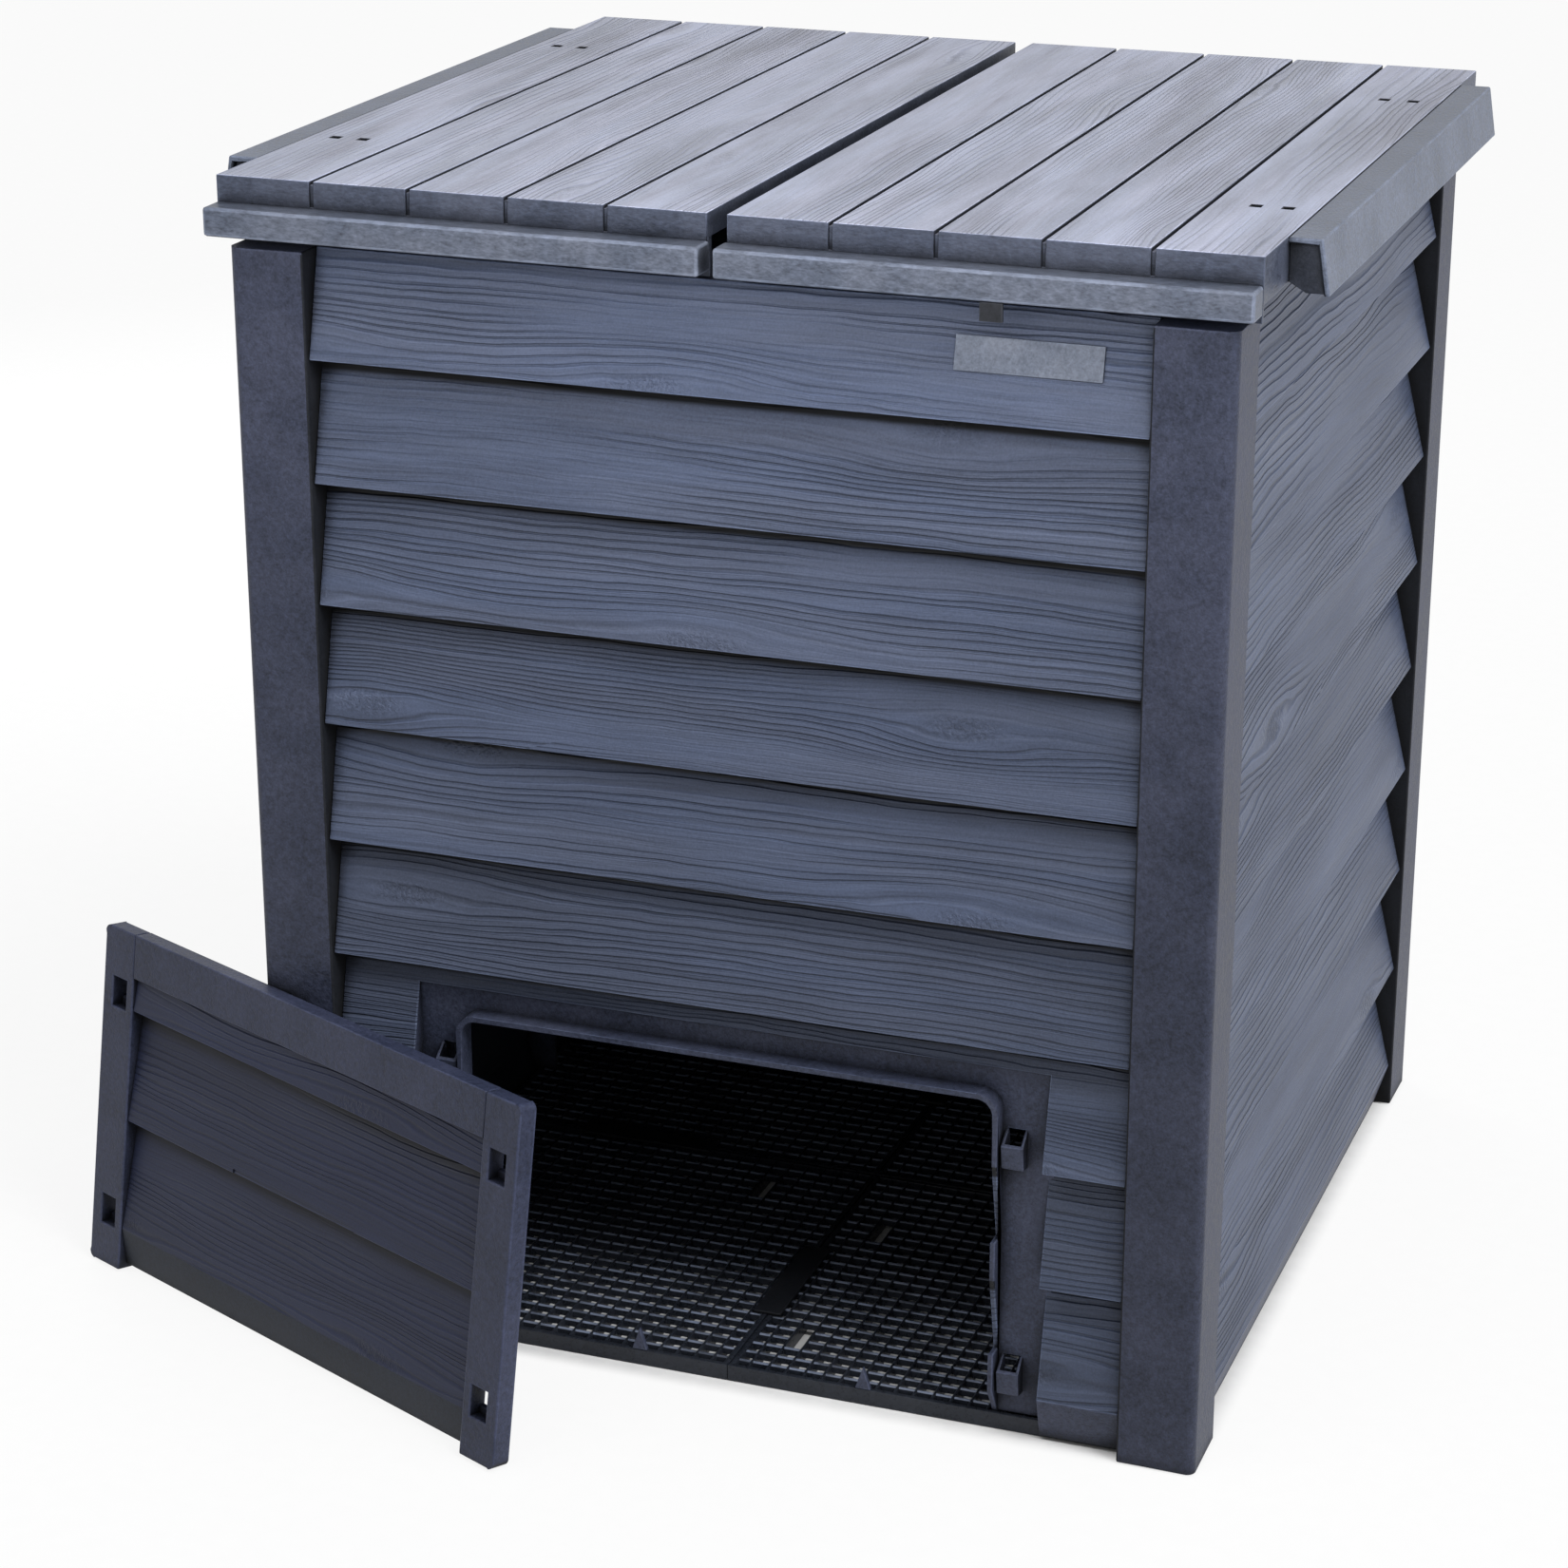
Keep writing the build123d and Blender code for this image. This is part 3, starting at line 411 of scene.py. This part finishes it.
def moulded(
    name,
    tone,
    along,
    across,
    start,
    pitch,
    seed,
    depth,
    gloss,
    mottle=0.11,
    lip_shadow=(0.0085, 0.0035),
    grain_contrast=0.23,
):
    """Plastic with wood grain along each board, and a painted shadow under the lip above that is black for
    the first length given and fades over the second.
    """
    material, graph, shader = new_material(name)
    vector, chance = boards(graph, along, across, start, pitch, seed)
    grooves, ridges, fibres, knot = grain(graph, vector, chance)
    speck = graph.noise(position(graph), FINE_SPECK, roughness=0.6)
    cloud = graph.noise(graph.scaled(vector, BOARD_CLOUD), detail=3.0, roughness=0.6)
    streak = graph.noise(graph.scaled(vector, BOARD_STREAK))
    open_face = painted_occlusion_shade(graph)
    shade = graph.total(
        BOARD_SHADE["base"],
        graph.swing(chance, BOARD_SHADE["board"]),
        graph.swing(graph.span(cloud, *CLOUD_SPAN), mottle),
        graph.swing(fibres, BOARD_SHADE["fibres"]),
        graph.swing(speck, BOARD_SHADE["speck"]),
        # Darker in the grooves, and a painted highlight on the ridge beside each groove.
        graph.math("MULTIPLY", grooves, -grain_contrast),
        graph.math("MULTIPLY", ridges, grain_contrast * RIDGE_HIGHLIGHT),
        graph.math("MULTIPLY", knot, BOARD_SHADE["knot"]),
        # Lightened edges: partly rubbed wear, partly painted highlight.
        graph.math("MULTIPLY", edge_wear_and_highlight(graph), BOARD_SHADE["edge"]),
    )
    # Painted shade from ambient occlusion darkens corners and gaps, and the seams between lid planks.
    darkest = OCCLUSION_SHADE if lip_shadow else SEAM_SHADE
    shade = graph.math("MULTIPLY", shade, graph.span(open_face, 0.0, 1.0, darkest, 1.0))
    # Painted shadow under each lip: black just below it, then fading.
    if lip_shadow:
        black, fade = lip_shadow
        up = graph.add("SeparateXYZ", {0: vector}).outputs[1]
        painted_lip_shadow = graph.span(up, pitch - (black + fade), pitch - black, 1.0, LIP_SHADE)
        shade = graph.math("MULTIPLY", shade, painted_lip_shadow)
    colour = colour_of(graph, tone, streak, shade)
    rough = graph.total(
        gloss + BOARD_ROUGH["base"],
        graph.swing(streak, BOARD_ROUGH["streak"]),
        graph.swing(fibres, BOARD_ROUGH["fibres"]),
        graph.math("MULTIPLY", grooves, BOARD_ROUGH["grooves"]),
        graph.math("MULTIPLY", open_face, BOARD_ROUGH["open_face"]),
    )
    height = graph.total(
        graph.math("MULTIPLY", grooves, BOARD_HEIGHT["grooves"]),
        graph.math("MULTIPLY", ridges, BOARD_HEIGHT["ridges"]),
        graph.math("MULTIPLY", fibres, BOARD_HEIGHT["fibres"]),
        graph.math("MULTIPLY", speck, BOARD_HEIGHT["speck"]),
        graph.math("MULTIPLY", knot, BOARD_HEIGHT["knot"]),
    )
    attach(material, graph, shader, colour, rough, height, depth)
    return material


def textured(name, tone, gloss, depth, stretch=(1.0, 1.0, 1.0), wear_and_highlight=0.5, speckle=1.0, shade_corners=True):
    """Plastic with a fine moulded speckle, drawn out along one way where it is stretched."""
    material, graph, shader = new_material(name)
    place = position(graph)
    drawn = graph.scaled(place, stretch)
    fine = graph.noise(drawn, FINE_SPECK, roughness=0.6)
    coarse = graph.noise(drawn, COARSE_SPECK, detail=3.0, roughness=0.65)
    cloud = graph.noise(place, CLOUD, detail=3.0, roughness=0.6)
    scuff = graph.noise(graph.scaled(place, SCUFF_STRETCH), SCUFF, detail=4.0, roughness=0.65)
    shade = graph.total(
        PLAIN_SHADE["base"],
        graph.swing(fine, PLAIN_SHADE["fine"] * speckle),
        graph.swing(coarse, PLAIN_SHADE["coarse"] * speckle),
        graph.swing(graph.span(cloud, *CLOUD_SPAN), PLAIN_SHADE["cloud"]),
        graph.math("MULTIPLY", graph.span(scuff, *SCUFF_SPAN), PLAIN_SHADE["scuff"]),
        graph.math("MULTIPLY", edge_wear_and_highlight(graph), wear_and_highlight),
    )
    rough = graph.total(
        gloss,
        graph.swing(coarse, PLAIN_ROUGH["coarse"]),
        graph.swing(cloud, PLAIN_ROUGH["cloud"]),
    )
    # Painted shade from ambient occlusion darkens corners and gaps, where the roughness also rises.
    if shade_corners:
        open_face = painted_occlusion_shade(graph)
        shade = graph.math("MULTIPLY", shade, graph.span(open_face, 0.0, 1.0, OCCLUSION_SHADE, 1.0))
        corner_rough = PLAIN_ROUGH["corner_rough"]
        rough = graph.math("MULTIPLY_ADD", open_face, -corner_rough, graph.math("ADD", rough, corner_rough))
    colour = colour_of(graph, tone, cloud, shade)
    speck = graph.math("MULTIPLY", fine, PLAIN_HEIGHT["fine"])
    height = graph.math("MULTIPLY_ADD", coarse, PLAIN_HEIGHT["coarse"], speck)
    attach(material, graph, shader, colour, rough, height, depth)
    return material


WALL_LOOK = {"across": Z_AXIS, "start": LIP_Z, "pitch": SLAT_PITCH, "depth": 0.0018, "gloss": 0.44}
PLANK_LOOK = {
    "along": Y_AXIS,
    "across": X_AXIS,
    "pitch": PLANK_PITCH,
    "depth": 0.0011,
    "gloss": 0.36,
    "mottle": 0.25,
    "lip_shadow": None,
    "grain_contrast": 0.22,
}
wall_grain = {
    "front": moulded("slats_front", SLATE, X_AXIS, seed=11.0, **WALL_LOOK),
    "back": moulded("slats_back", SLATE, X_AXIS, seed=47.0, **WALL_LOOK),
    "left": moulded("slats_left", SLATE, Y_AXIS, seed=83.0, grain_contrast=0.20, **WALL_LOOK),
    "right": moulded("slats_right", SLATE, Y_AXIS, seed=29.0, grain_contrast=0.20, **WALL_LOOK),
}
# Plank tops carry painted light and sheen: the lightest copy of the lid plastic.
plank_grain = {
    "right": moulded("planks_right", LID_TONE, start=LID_INNER_X, seed=5.0, **PLANK_LOOK),
    "left": moulded("planks_left", LID_TONE, start=-LID_OUTER_X, seed=64.0, **PLANK_LOOK),
}
# The door's boards take a darker copy of the slate as painted shade.
door_grain = moulded(
    "slats_door",
    DOOR_TONE,
    DOOR_ALONG,
    DOOR_UP,
    DOOR_LIP,
    SLAT_PITCH,
    seed=17.0,
    depth=0.0011,
    gloss=0.46,
    # Longer fade of the painted shadow under each lip of the door.
    lip_shadow=(0.0025, 0.0140),
    grain_contrast=0.17,
)
frame_plastic = textured("moulded_frame", FRAME_TONE, gloss=0.48, depth=0.0008)
door_plastic = textured("moulded_door", DOOR_FRAME_TONE, gloss=0.46, depth=0.0008)
post_plastic = textured("moulded_posts", POST_TONE, gloss=0.48, depth=0.0008)
# Darker copies of the lid plastic for the plank ends, fascia and skirt: painted shade; the fascia's lightened
# top edge is partly a painted highlight.
lid_plastic = textured(
    "moulded_lid_edges", LID_END_TONE, gloss=0.42, depth=0.0006, stretch=(0.45, 0.45, 1.0), speckle=0.8
)
fascia_plastic = textured(
    "moulded_fascia", FASCIA_TONE, gloss=0.42, depth=0.0006, stretch=(0.45, 1.0, 1.0), wear_and_highlight=0.9
)
skirt_plastic = textured("moulded_skirt", SKIRT_TONE, gloss=0.40, depth=0.0006, stretch=(1.0, 0.6, 1.0))
# Dark copy of the lid plastic for the skirt-end webs: painted shade.
web_plastic = textured("moulded_webs", WEB_TONE, gloss=0.46, depth=0.0006)
# Dark inside plastic: painted shade on inner faces.
inner_plastic = textured("moulded_inside", INNER_TONE, gloss=0.55, depth=0.0002, wear_and_highlight=0.2)
# Near black painted shade for the posts' inner sides and the hinge holes.
shade_plastic = textured("shaded_sides", SHADE_TONE, gloss=0.70, depth=0.0002, wear_and_highlight=0.0)
hinge_plastic = textured("hinge_plastic", HINGE_TONE, gloss=0.42, depth=0.0002, wear_and_highlight=0.8)
trim_plastic = textured("satin_trim", TRIM_TONE, gloss=0.36, depth=0.0002, wear_and_highlight=0.3, speckle=0.6)
# The cross bars' lightened tops are a painted highlight.
grid_plastic = textured("black_grid", GRID_TONE, gloss=0.30, depth=0.0001, wear_and_highlight=10.0, shade_corners=False)


# Pieces


def finish_mesh(name, bm, materials, body, replaced, crisp=False):
    """Turn the mesh into a piece that rides on a body in place of CAD nodes; crisp keeps broad faces flat."""
    for face in bm.faces:
        face.smooth = True
    for edge in bm.edges:
        turn = edge.calc_face_angle(math.pi)
        broad = min((face.calc_area() for face in edge.link_faces), default=0.0) > BROAD_AREA
        edge.smooth = turn < SHARP_TURN and not (crisp and broad and turn > CRISP_TURN)
    mesh = bpy.data.meshes.new(name)
    bm.to_mesh(mesh)
    bm.free()
    for material in materials:
        mesh.materials.append(material)
    piece = bpy.data.objects.new(name, mesh)
    bpy.context.scene.collection.objects.link(piece)
    weighted = piece.modifiers.new("weighted_normals", "WEIGHTED_NORMAL")
    weighted.keep_sharp = True
    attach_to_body(piece, body)
    if replaced:
        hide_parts(*replaced)


def clean_mesh(node):
    """The node's solid as whole faces instead of triangles."""
    bm = bmesh.new()
    bm.from_mesh(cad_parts[node].data)
    bmesh.ops.remove_doubles(bm, verts=bm.verts, dist=CAD_WELD)
    bmesh.ops.dissolve_limit(bm, angle_limit=FLAT_TURN, verts=bm.verts, edges=bm.edges)
    return bm


def soften(bm, width, shortest):
    """Round the longer outer edges; the new faces carry the edge attribute."""
    edge_mark = bm.faces.layers.float.new("edge")
    outer = []
    for edge in bm.edges:
        if len(edge.link_faces) == 2 and edge.calc_face_angle_signed() > ROUNDED_TURN:
            if edge.calc_length() > shortest:
                outer.append(edge)
    made = bmesh.ops.bevel(
        bm,
        geom=outer,
        offset=width,
        segments=BEVEL_SEGMENTS,
        profile=0.5,
        affect="EDGES",
        clamp_overlap=False,
    )
    for face in made["faces"]:
        face[edge_mark] = 1.0
    bmesh.ops.remove_doubles(bm, verts=bm.verts, dist=BEVEL_WELD)
    bmesh.ops.dissolve_degenerate(bm, edges=bm.edges, dist=BEVEL_WELD)


def dress(
    node, body, materials, width=0.0010, shortest=0.006, choose=None, ceiling=None, crisp=False
):
    """Softened copy of a node, with a material chosen for each face and its top held down to a ceiling."""
    bm = clean_mesh(node)
    for vert in bm.verts:
        if ceiling and vert.co.z > ceiling:
            vert.co.z = ceiling
    soften(bm, width, shortest)
    if choose:
        for face in bm.faces:
            face.material_index = choose(face.calc_center_median(), face.normal)
    finish_mesh(node + "_moulding", bm, materials, body, [node], crisp)


def wall_choice(outward):
    """Boards on the leaning outer faces; the dark inside plastic on inner faces as painted shade; plain
    elsewhere, and plain below the lowest lip, darker than the boards as partly painted shade.
    """

    def choose(centre, normal):
        if normal.dot(outward) > FACING:
            return 0 if abs(normal.z) > LEANING and centre.z > LIP_Z else 1
        return 2 if normal.dot(outward) < -FACING else 1

    return choose


def skirt_choice(centre, normal):
    """Faces that look down or back to the bin are the inner ones, which take the dark inside plastic as
    painted shade.
    """
    return 1 if normal.z < DOWNWARD or normal.x * centre.x < INWARD else 0


def post_choice(centre, normal):
    """Faces that look back to the middle of the bin are the inner ones, which take a near black painted
    shade.
    """
    return 1 if normal.x * centre.x < INWARD or normal.y * centre.y < INWARD else 0


def deck_choice(centre, normal):
    """Planks on top in the lightest copy of the lid plastic, a painted light; painted shade elsewhere: near
    black in the hinge holes, a darker copy at the ends and the dark inside plastic beneath.
    """
    in_hole = abs(abs(centre.y) - PRONG_Y) < PRONG_REACH and any(
        abs(abs(centre.x) - x) < PRONG_REACH for x in PRONG_X
    )
    if in_hole and normal.z < NEARLY_LEVEL:
        return 3
    return 0 if normal.z > LEVEL else 2 if normal.z < -LEVEL else 1


def door_choice(centre, normal):
    """Boards on the front below the rail, the dark inside plastic under the lowest lip as painted shade,
    plain elsewhere.
    """
    if centre.z > DOOR_RAIL_V * math.cos(DOOR_LEAN) or normal.dot(DOOR_FACE) < FACING:
        return 1
    return 2 if centre.dot(DOOR_UP) < DOOR_LIP - DOOR_LIP_MARGIN else 0


def skirt_web(side, end):
    """Thin web that closes one end of a lid skirt."""
    out = 1.0 if side == "right" else -1.0
    along = -1.0 if end == "front" else 1.0
    bm = bmesh.new()
    near, far = ([bm.verts.new((out * x, along * y, z)) for x, z in SKIRT_WEB] for y in SKIRT_WEB_Y)
    bm.faces.new(near)
    bm.faces.new(far)
    for i in range(len(SKIRT_WEB)):
        j = (i + 1) % len(SKIRT_WEB)
        bm.faces.new((near[i], near[j], far[j], far[i]))
    bmesh.ops.recalc_face_normals(bm, faces=bm.faces)
    soften(bm, width=0.0006, shortest=0.004)
    finish_mesh("skirt_web_" + side + "_" + end, bm, [web_plastic], side + "_lid", [])


def add_bar(bm, low, high, axis, lit_top=0.0):
    """Bar along an axis whose two upper edges are cut back; its upper faces may carry a painted highlight."""
    edge_mark = bm.faces.layers.float["edge"]
    across = 1 - axis
    cut = min(FLOOR_BAR_CUT, (high[across] - low[across]) / 3)
    outline = [
        (low[across], low[2]),
        (high[across], low[2]),
        (high[across], high[2] - cut),
        (high[across] - cut, high[2]),
        (low[across] + cut, high[2]),
        (low[across], high[2] - cut),
    ]
    upper_faces = (2, 3, 4)
    rings = []
    for run in (low[axis], high[axis]):
        ring = []
        for side, z in outline:
            place = [0.0, 0.0, z]
            place[axis], place[across] = run, side
            ring.append(bm.verts.new(place))
        rings.append(ring)
    first, last = rings
    bm.faces.new(first)
    bm.faces.new(last)
    for i in range(len(outline)):
        j = (i + 1) % len(outline)
        face = bm.faces.new((first[i], first[j], last[j], last[i]))
        face[edge_mark] = lit_top if i in upper_faces else 0.0


def in_gap(place):
    """Whether a place lies in one of the gaps beside the floor's joining clips."""
    return any(x0 < place[0] < x1 and y0 < place[1] < y1 for x0, x1, y0, y1 in FLOOR_GAPS)


def floor_rims(bm, low, high, axis):
    """The two bars along an axis that frame a floor quarter."""
    across = 1 - axis
    for edge in (low[across], high[across] - FLOOR_RIM):
        start, end = list(low), list(high)
        start[across], end[across] = edge, edge + FLOOR_RIM
        if axis == 1:
            start[1], end[1] = low[1] + FLOOR_RIM - FLOOR_LAP, high[1] - FLOOR_RIM + FLOOR_LAP
            start[2], end[2] = low[2] + FLOOR_STEP_DOWN, high[2] - FLOOR_STEP_DOWN
        add_bar(bm, start, end, axis)


def floor_bars(bm, low, high, axis):
    """The bars along an axis inside a floor quarter: thin ones across it or tall ones to the back."""
    across = 1 - axis
    pitch = (high[across] - low[across]) / FLOOR_CELLS
    step = (high[axis] - low[axis]) / FLOOR_CELLS
    half = FLOOR_HALF_BAR[axis]
    for bar in range(1, FLOOR_CELLS):
        middle = low[across] + pitch * bar
        start, end = list(low), list(high)
        start[across], end[across] = middle - half, middle + half
        if axis == 0:
            start[2], end[2] = low[2] + FLOOR_CROSS_RISE, high[2] - FLOOR_CROSS_DROP
        else:
            start[2], end[2] = low[2] + 2 * FLOOR_STEP_DOWN, high[2] - 2 * FLOOR_STEP_DOWN
        run = None
        for cell in range(FLOOR_CELLS + 1):
            place = [0.0, 0.0]
            place[axis], place[across] = low[axis] + step * (cell + 0.5), middle
            if cell < FLOOR_CELLS and not in_gap(place):
                run = low[axis] + step * cell if run is None else run
            elif run is not None:
                start[axis] = max(run, low[axis] + FLOOR_RIM - FLOOR_LAP)
                end[axis] = min(low[axis] + step * cell, high[axis] - FLOOR_RIM + FLOOR_LAP)
                # Cross bars get a painted highlight on their tops.
                add_bar(bm, start, end, axis, 1.0 - axis)
                run = None


def floor_mesh(corner):
    """Fine mesh of one floor quarter in place of its coarse solid."""
    node = "floor_" + corner
    low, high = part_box(node)
    bm = bmesh.new()
    bm.faces.layers.float.new("edge")
    for axis in (0, 1):
        floor_rims(bm, low, high, axis)
        floor_bars(bm, low, high, axis)
    bmesh.ops.recalc_face_normals(bm, faces=bm.faces)
    finish_mesh(node + "_mesh", bm, [grid_plastic], "bin", [node])


for wall, direction in OUTWARD.items():
    skins = [wall_grain[wall], frame_plastic, inner_plastic]
    dress("panel_" + wall, "bin", skins, choose=wall_choice(direction), crisp=True)
for corner in CORNERS:
    dress("post_" + corner, "bin", [post_plastic, shade_plastic], width=0.0014, choose=post_choice)
for hook in ("lower_left", "lower_right", "upper_left", "upper_right"):
    dress("hook_" + hook, "bin", [frame_plastic], width=0.0006, shortest=0.004)
dress("badge_plate", "bin", [trim_plastic], width=0.0006, shortest=0.001)

for side in SIDES:
    body = side + "_lid"
    skins = [plank_grain[side], lid_plastic, inner_plastic, shade_plastic]
    dress("lid_deck_" + side, body, skins, width=0.0009, choose=deck_choice)
    skins = [skirt_plastic, inner_plastic]
    dress("lid_skirt_" + side, body, skins, width=0.0012, choose=skirt_choice)
    for end in ENDS:
        place = side + "_" + end
        dress("lid_fascia_" + place, body, [fascia_plastic], width=0.0022)
        skins = [hinge_plastic]
        dress("hinge_strap_" + place, body, skins, width=0.0004, shortest=0.008, ceiling=PRONG_TOP)
        dress("hinge_bracket_" + place, "bin", skins, width=0.0006, shortest=0.003)
        dress("hinge_pin_" + place, "bin", [trim_plastic], width=0.0003, shortest=0.03)
for side in SIDES:
    for end in ENDS:
        skirt_web(side, end)
dress("lid_catch", "right_lid", [hinge_plastic], width=0.0008, shortest=0.002)

skins = [door_grain, door_plastic, inner_plastic]
dress("door_panel", "door", skins, choose=door_choice)
for side in SIDES:
    dress("door_stile_" + side, "door", [door_plastic], width=0.0014)

for corner in CORNERS:
    floor_mesh(corner)
for wall in OUTWARD:
    dress("floor_clip_" + wall, "bin", [hinge_plastic], width=0.0006, shortest=0.002)
for side in SIDES:
    dress("floor_tab_" + side, "bin", [frame_plastic], width=0.0006, shortest=0.002)


# Stage, light and camera


def seen_directly(graph):
    """1 for what the camera sees straight, in a gloss or through glass."""
    path = graph.add("LightPath", {})
    seen = graph.math("MAXIMUM", path.outputs["Is Camera Ray"], path.outputs["Is Glossy Ray"])
    return graph.math("MAXIMUM", seen, path.outputs["Is Transmission Ray"])


def make_floor():
    """Pale floor that takes the object's shadow."""
    material = bpy.data.materials.new("pale_floor")
    material.use_nodes = True
    material.node_tree.nodes.clear()
    graph = Graph(material.node_tree)
    grit = graph.span(graph.noise(position(graph), FLOOR_GRIT, detail=3.0), *FLOOR_GRIT_SPAN, *FLOOR_PAINT)
    paint = graph.add("BsdfDiffuse", {"Color": grit})
    white = graph.add("Emission", {"Strength": 1.0})
    under = graph.add("SeparateXYZ", {0: position(graph)})
    reach = graph.math("MAXIMUM", *(graph.math("ABSOLUTE", under.outputs[i]) for i in (0, 1)))
    share = graph.math("MULTIPLY", seen_directly(graph), graph.span(reach, *GLOW_FROM, 0.0, GLOW_SHARE))
    surface = graph.add("MixShader", {0: share, 1: paint.outputs[0], 2: white.outputs[0]})
    output = graph.add("OutputMaterial", {})
    material.node_tree.links.new(surface.outputs[0], output.inputs["Surface"])
    bm = bmesh.new()
    bmesh.ops.create_grid(bm, x_segments=8, y_segments=8, size=FLOOR_SIZE)
    mesh = bpy.data.meshes.new("studio_floor")
    bm.to_mesh(mesh)
    bm.free()
    mesh.materials.append(material)
    floor = bpy.data.objects.new("studio_floor", mesh)
    floor.location.z = -FLOOR_DROP
    bpy.context.scene.collection.objects.link(floor)


def make_world():
    """Even light from all round, white where it is seen directly."""
    world = bpy.data.worlds.new("studio")
    bpy.context.scene.world = world
    world.use_nodes = True
    world.node_tree.nodes.clear()
    graph = Graph(world.node_tree)
    strength = graph.span(seen_directly(graph), 0.0, 1.0, SKY_LIGHT, SKY_SEEN)
    back = graph.add("Background", {"Color": (1.0, 1.0, 1.0, 1.0), "Strength": strength})
    output = graph.add("OutputWorld", {})
    world.node_tree.links.new(back.outputs[0], output.inputs["Surface"])


def sun(name, towards, strength, angle):
    """Soft distant lamp that shines along a direction."""
    light = bpy.data.lights.new(name, "SUN")
    light.energy = strength
    light.angle = math.radians(angle)
    lamp = bpy.data.objects.new(name, light)
    lamp.rotation_mode = "QUATERNION"
    lamp.rotation_quaternion = Vector(towards).to_track_quat("-Z", "Y")
    bpy.context.scene.collection.objects.link(lamp)


def softbox(name, place, aim, width, height, power):
    """Oblong lamp that faces a point."""
    light = bpy.data.lights.new(name, "AREA")
    light.shape = "RECTANGLE"
    light.size = width
    light.size_y = height
    light.energy = power
    lamp = bpy.data.objects.new(name, light)
    lamp.location = place
    lamp.visible_camera = False
    lamp.visible_glossy = False
    lamp.rotation_mode = "QUATERNION"
    lamp.rotation_quaternion = (Vector(aim) - Vector(place)).to_track_quat("-Z", "Y")
    bpy.context.scene.collection.objects.link(lamp)


def make_camera():
    """Camera that was solved from the photograph, with no shift."""
    data = bpy.data.cameras.new("photo_view")
    data.sensor_fit = "HORIZONTAL"
    data.sensor_width = SENSOR
    data.lens = SENSOR * FOCAL_PIXELS / PHOTO_PIXELS
    data.clip_end = CLIP_END
    camera = bpy.data.objects.new("photo_view", data)
    camera.location = CAMERA_PLACE
    aim = Vector(CAMERA_AIM) - camera.location
    camera.rotation_mode = "QUATERNION"
    camera.rotation_quaternion = aim.to_track_quat("-Z", "Y")
    bpy.context.scene.collection.objects.link(camera)
    bpy.context.scene.camera = camera


make_floor()
make_world()
sun("key_light", towards=(-0.62, 0.25, -0.75), strength=2.2, angle=25.0)
softbox("back_light", place=(-1.9, 1.9, 1.5), aim=(-0.2, 0.2, 0.45), width=1.4, height=1.4, power=34.0)
softbox("side_light", place=(2.4, -0.3, 1.1), aim=(0.36, 0.0, 0.5), width=1.2, height=1.2, power=26.0)
softbox("front_light", place=(0.05, -0.80, 1.02), aim=(0.0, -0.36, 0.80), width=1.2, height=0.3, power=6.4)
make_camera()
bpy.context.scene.view_settings.view_transform = "Standard"
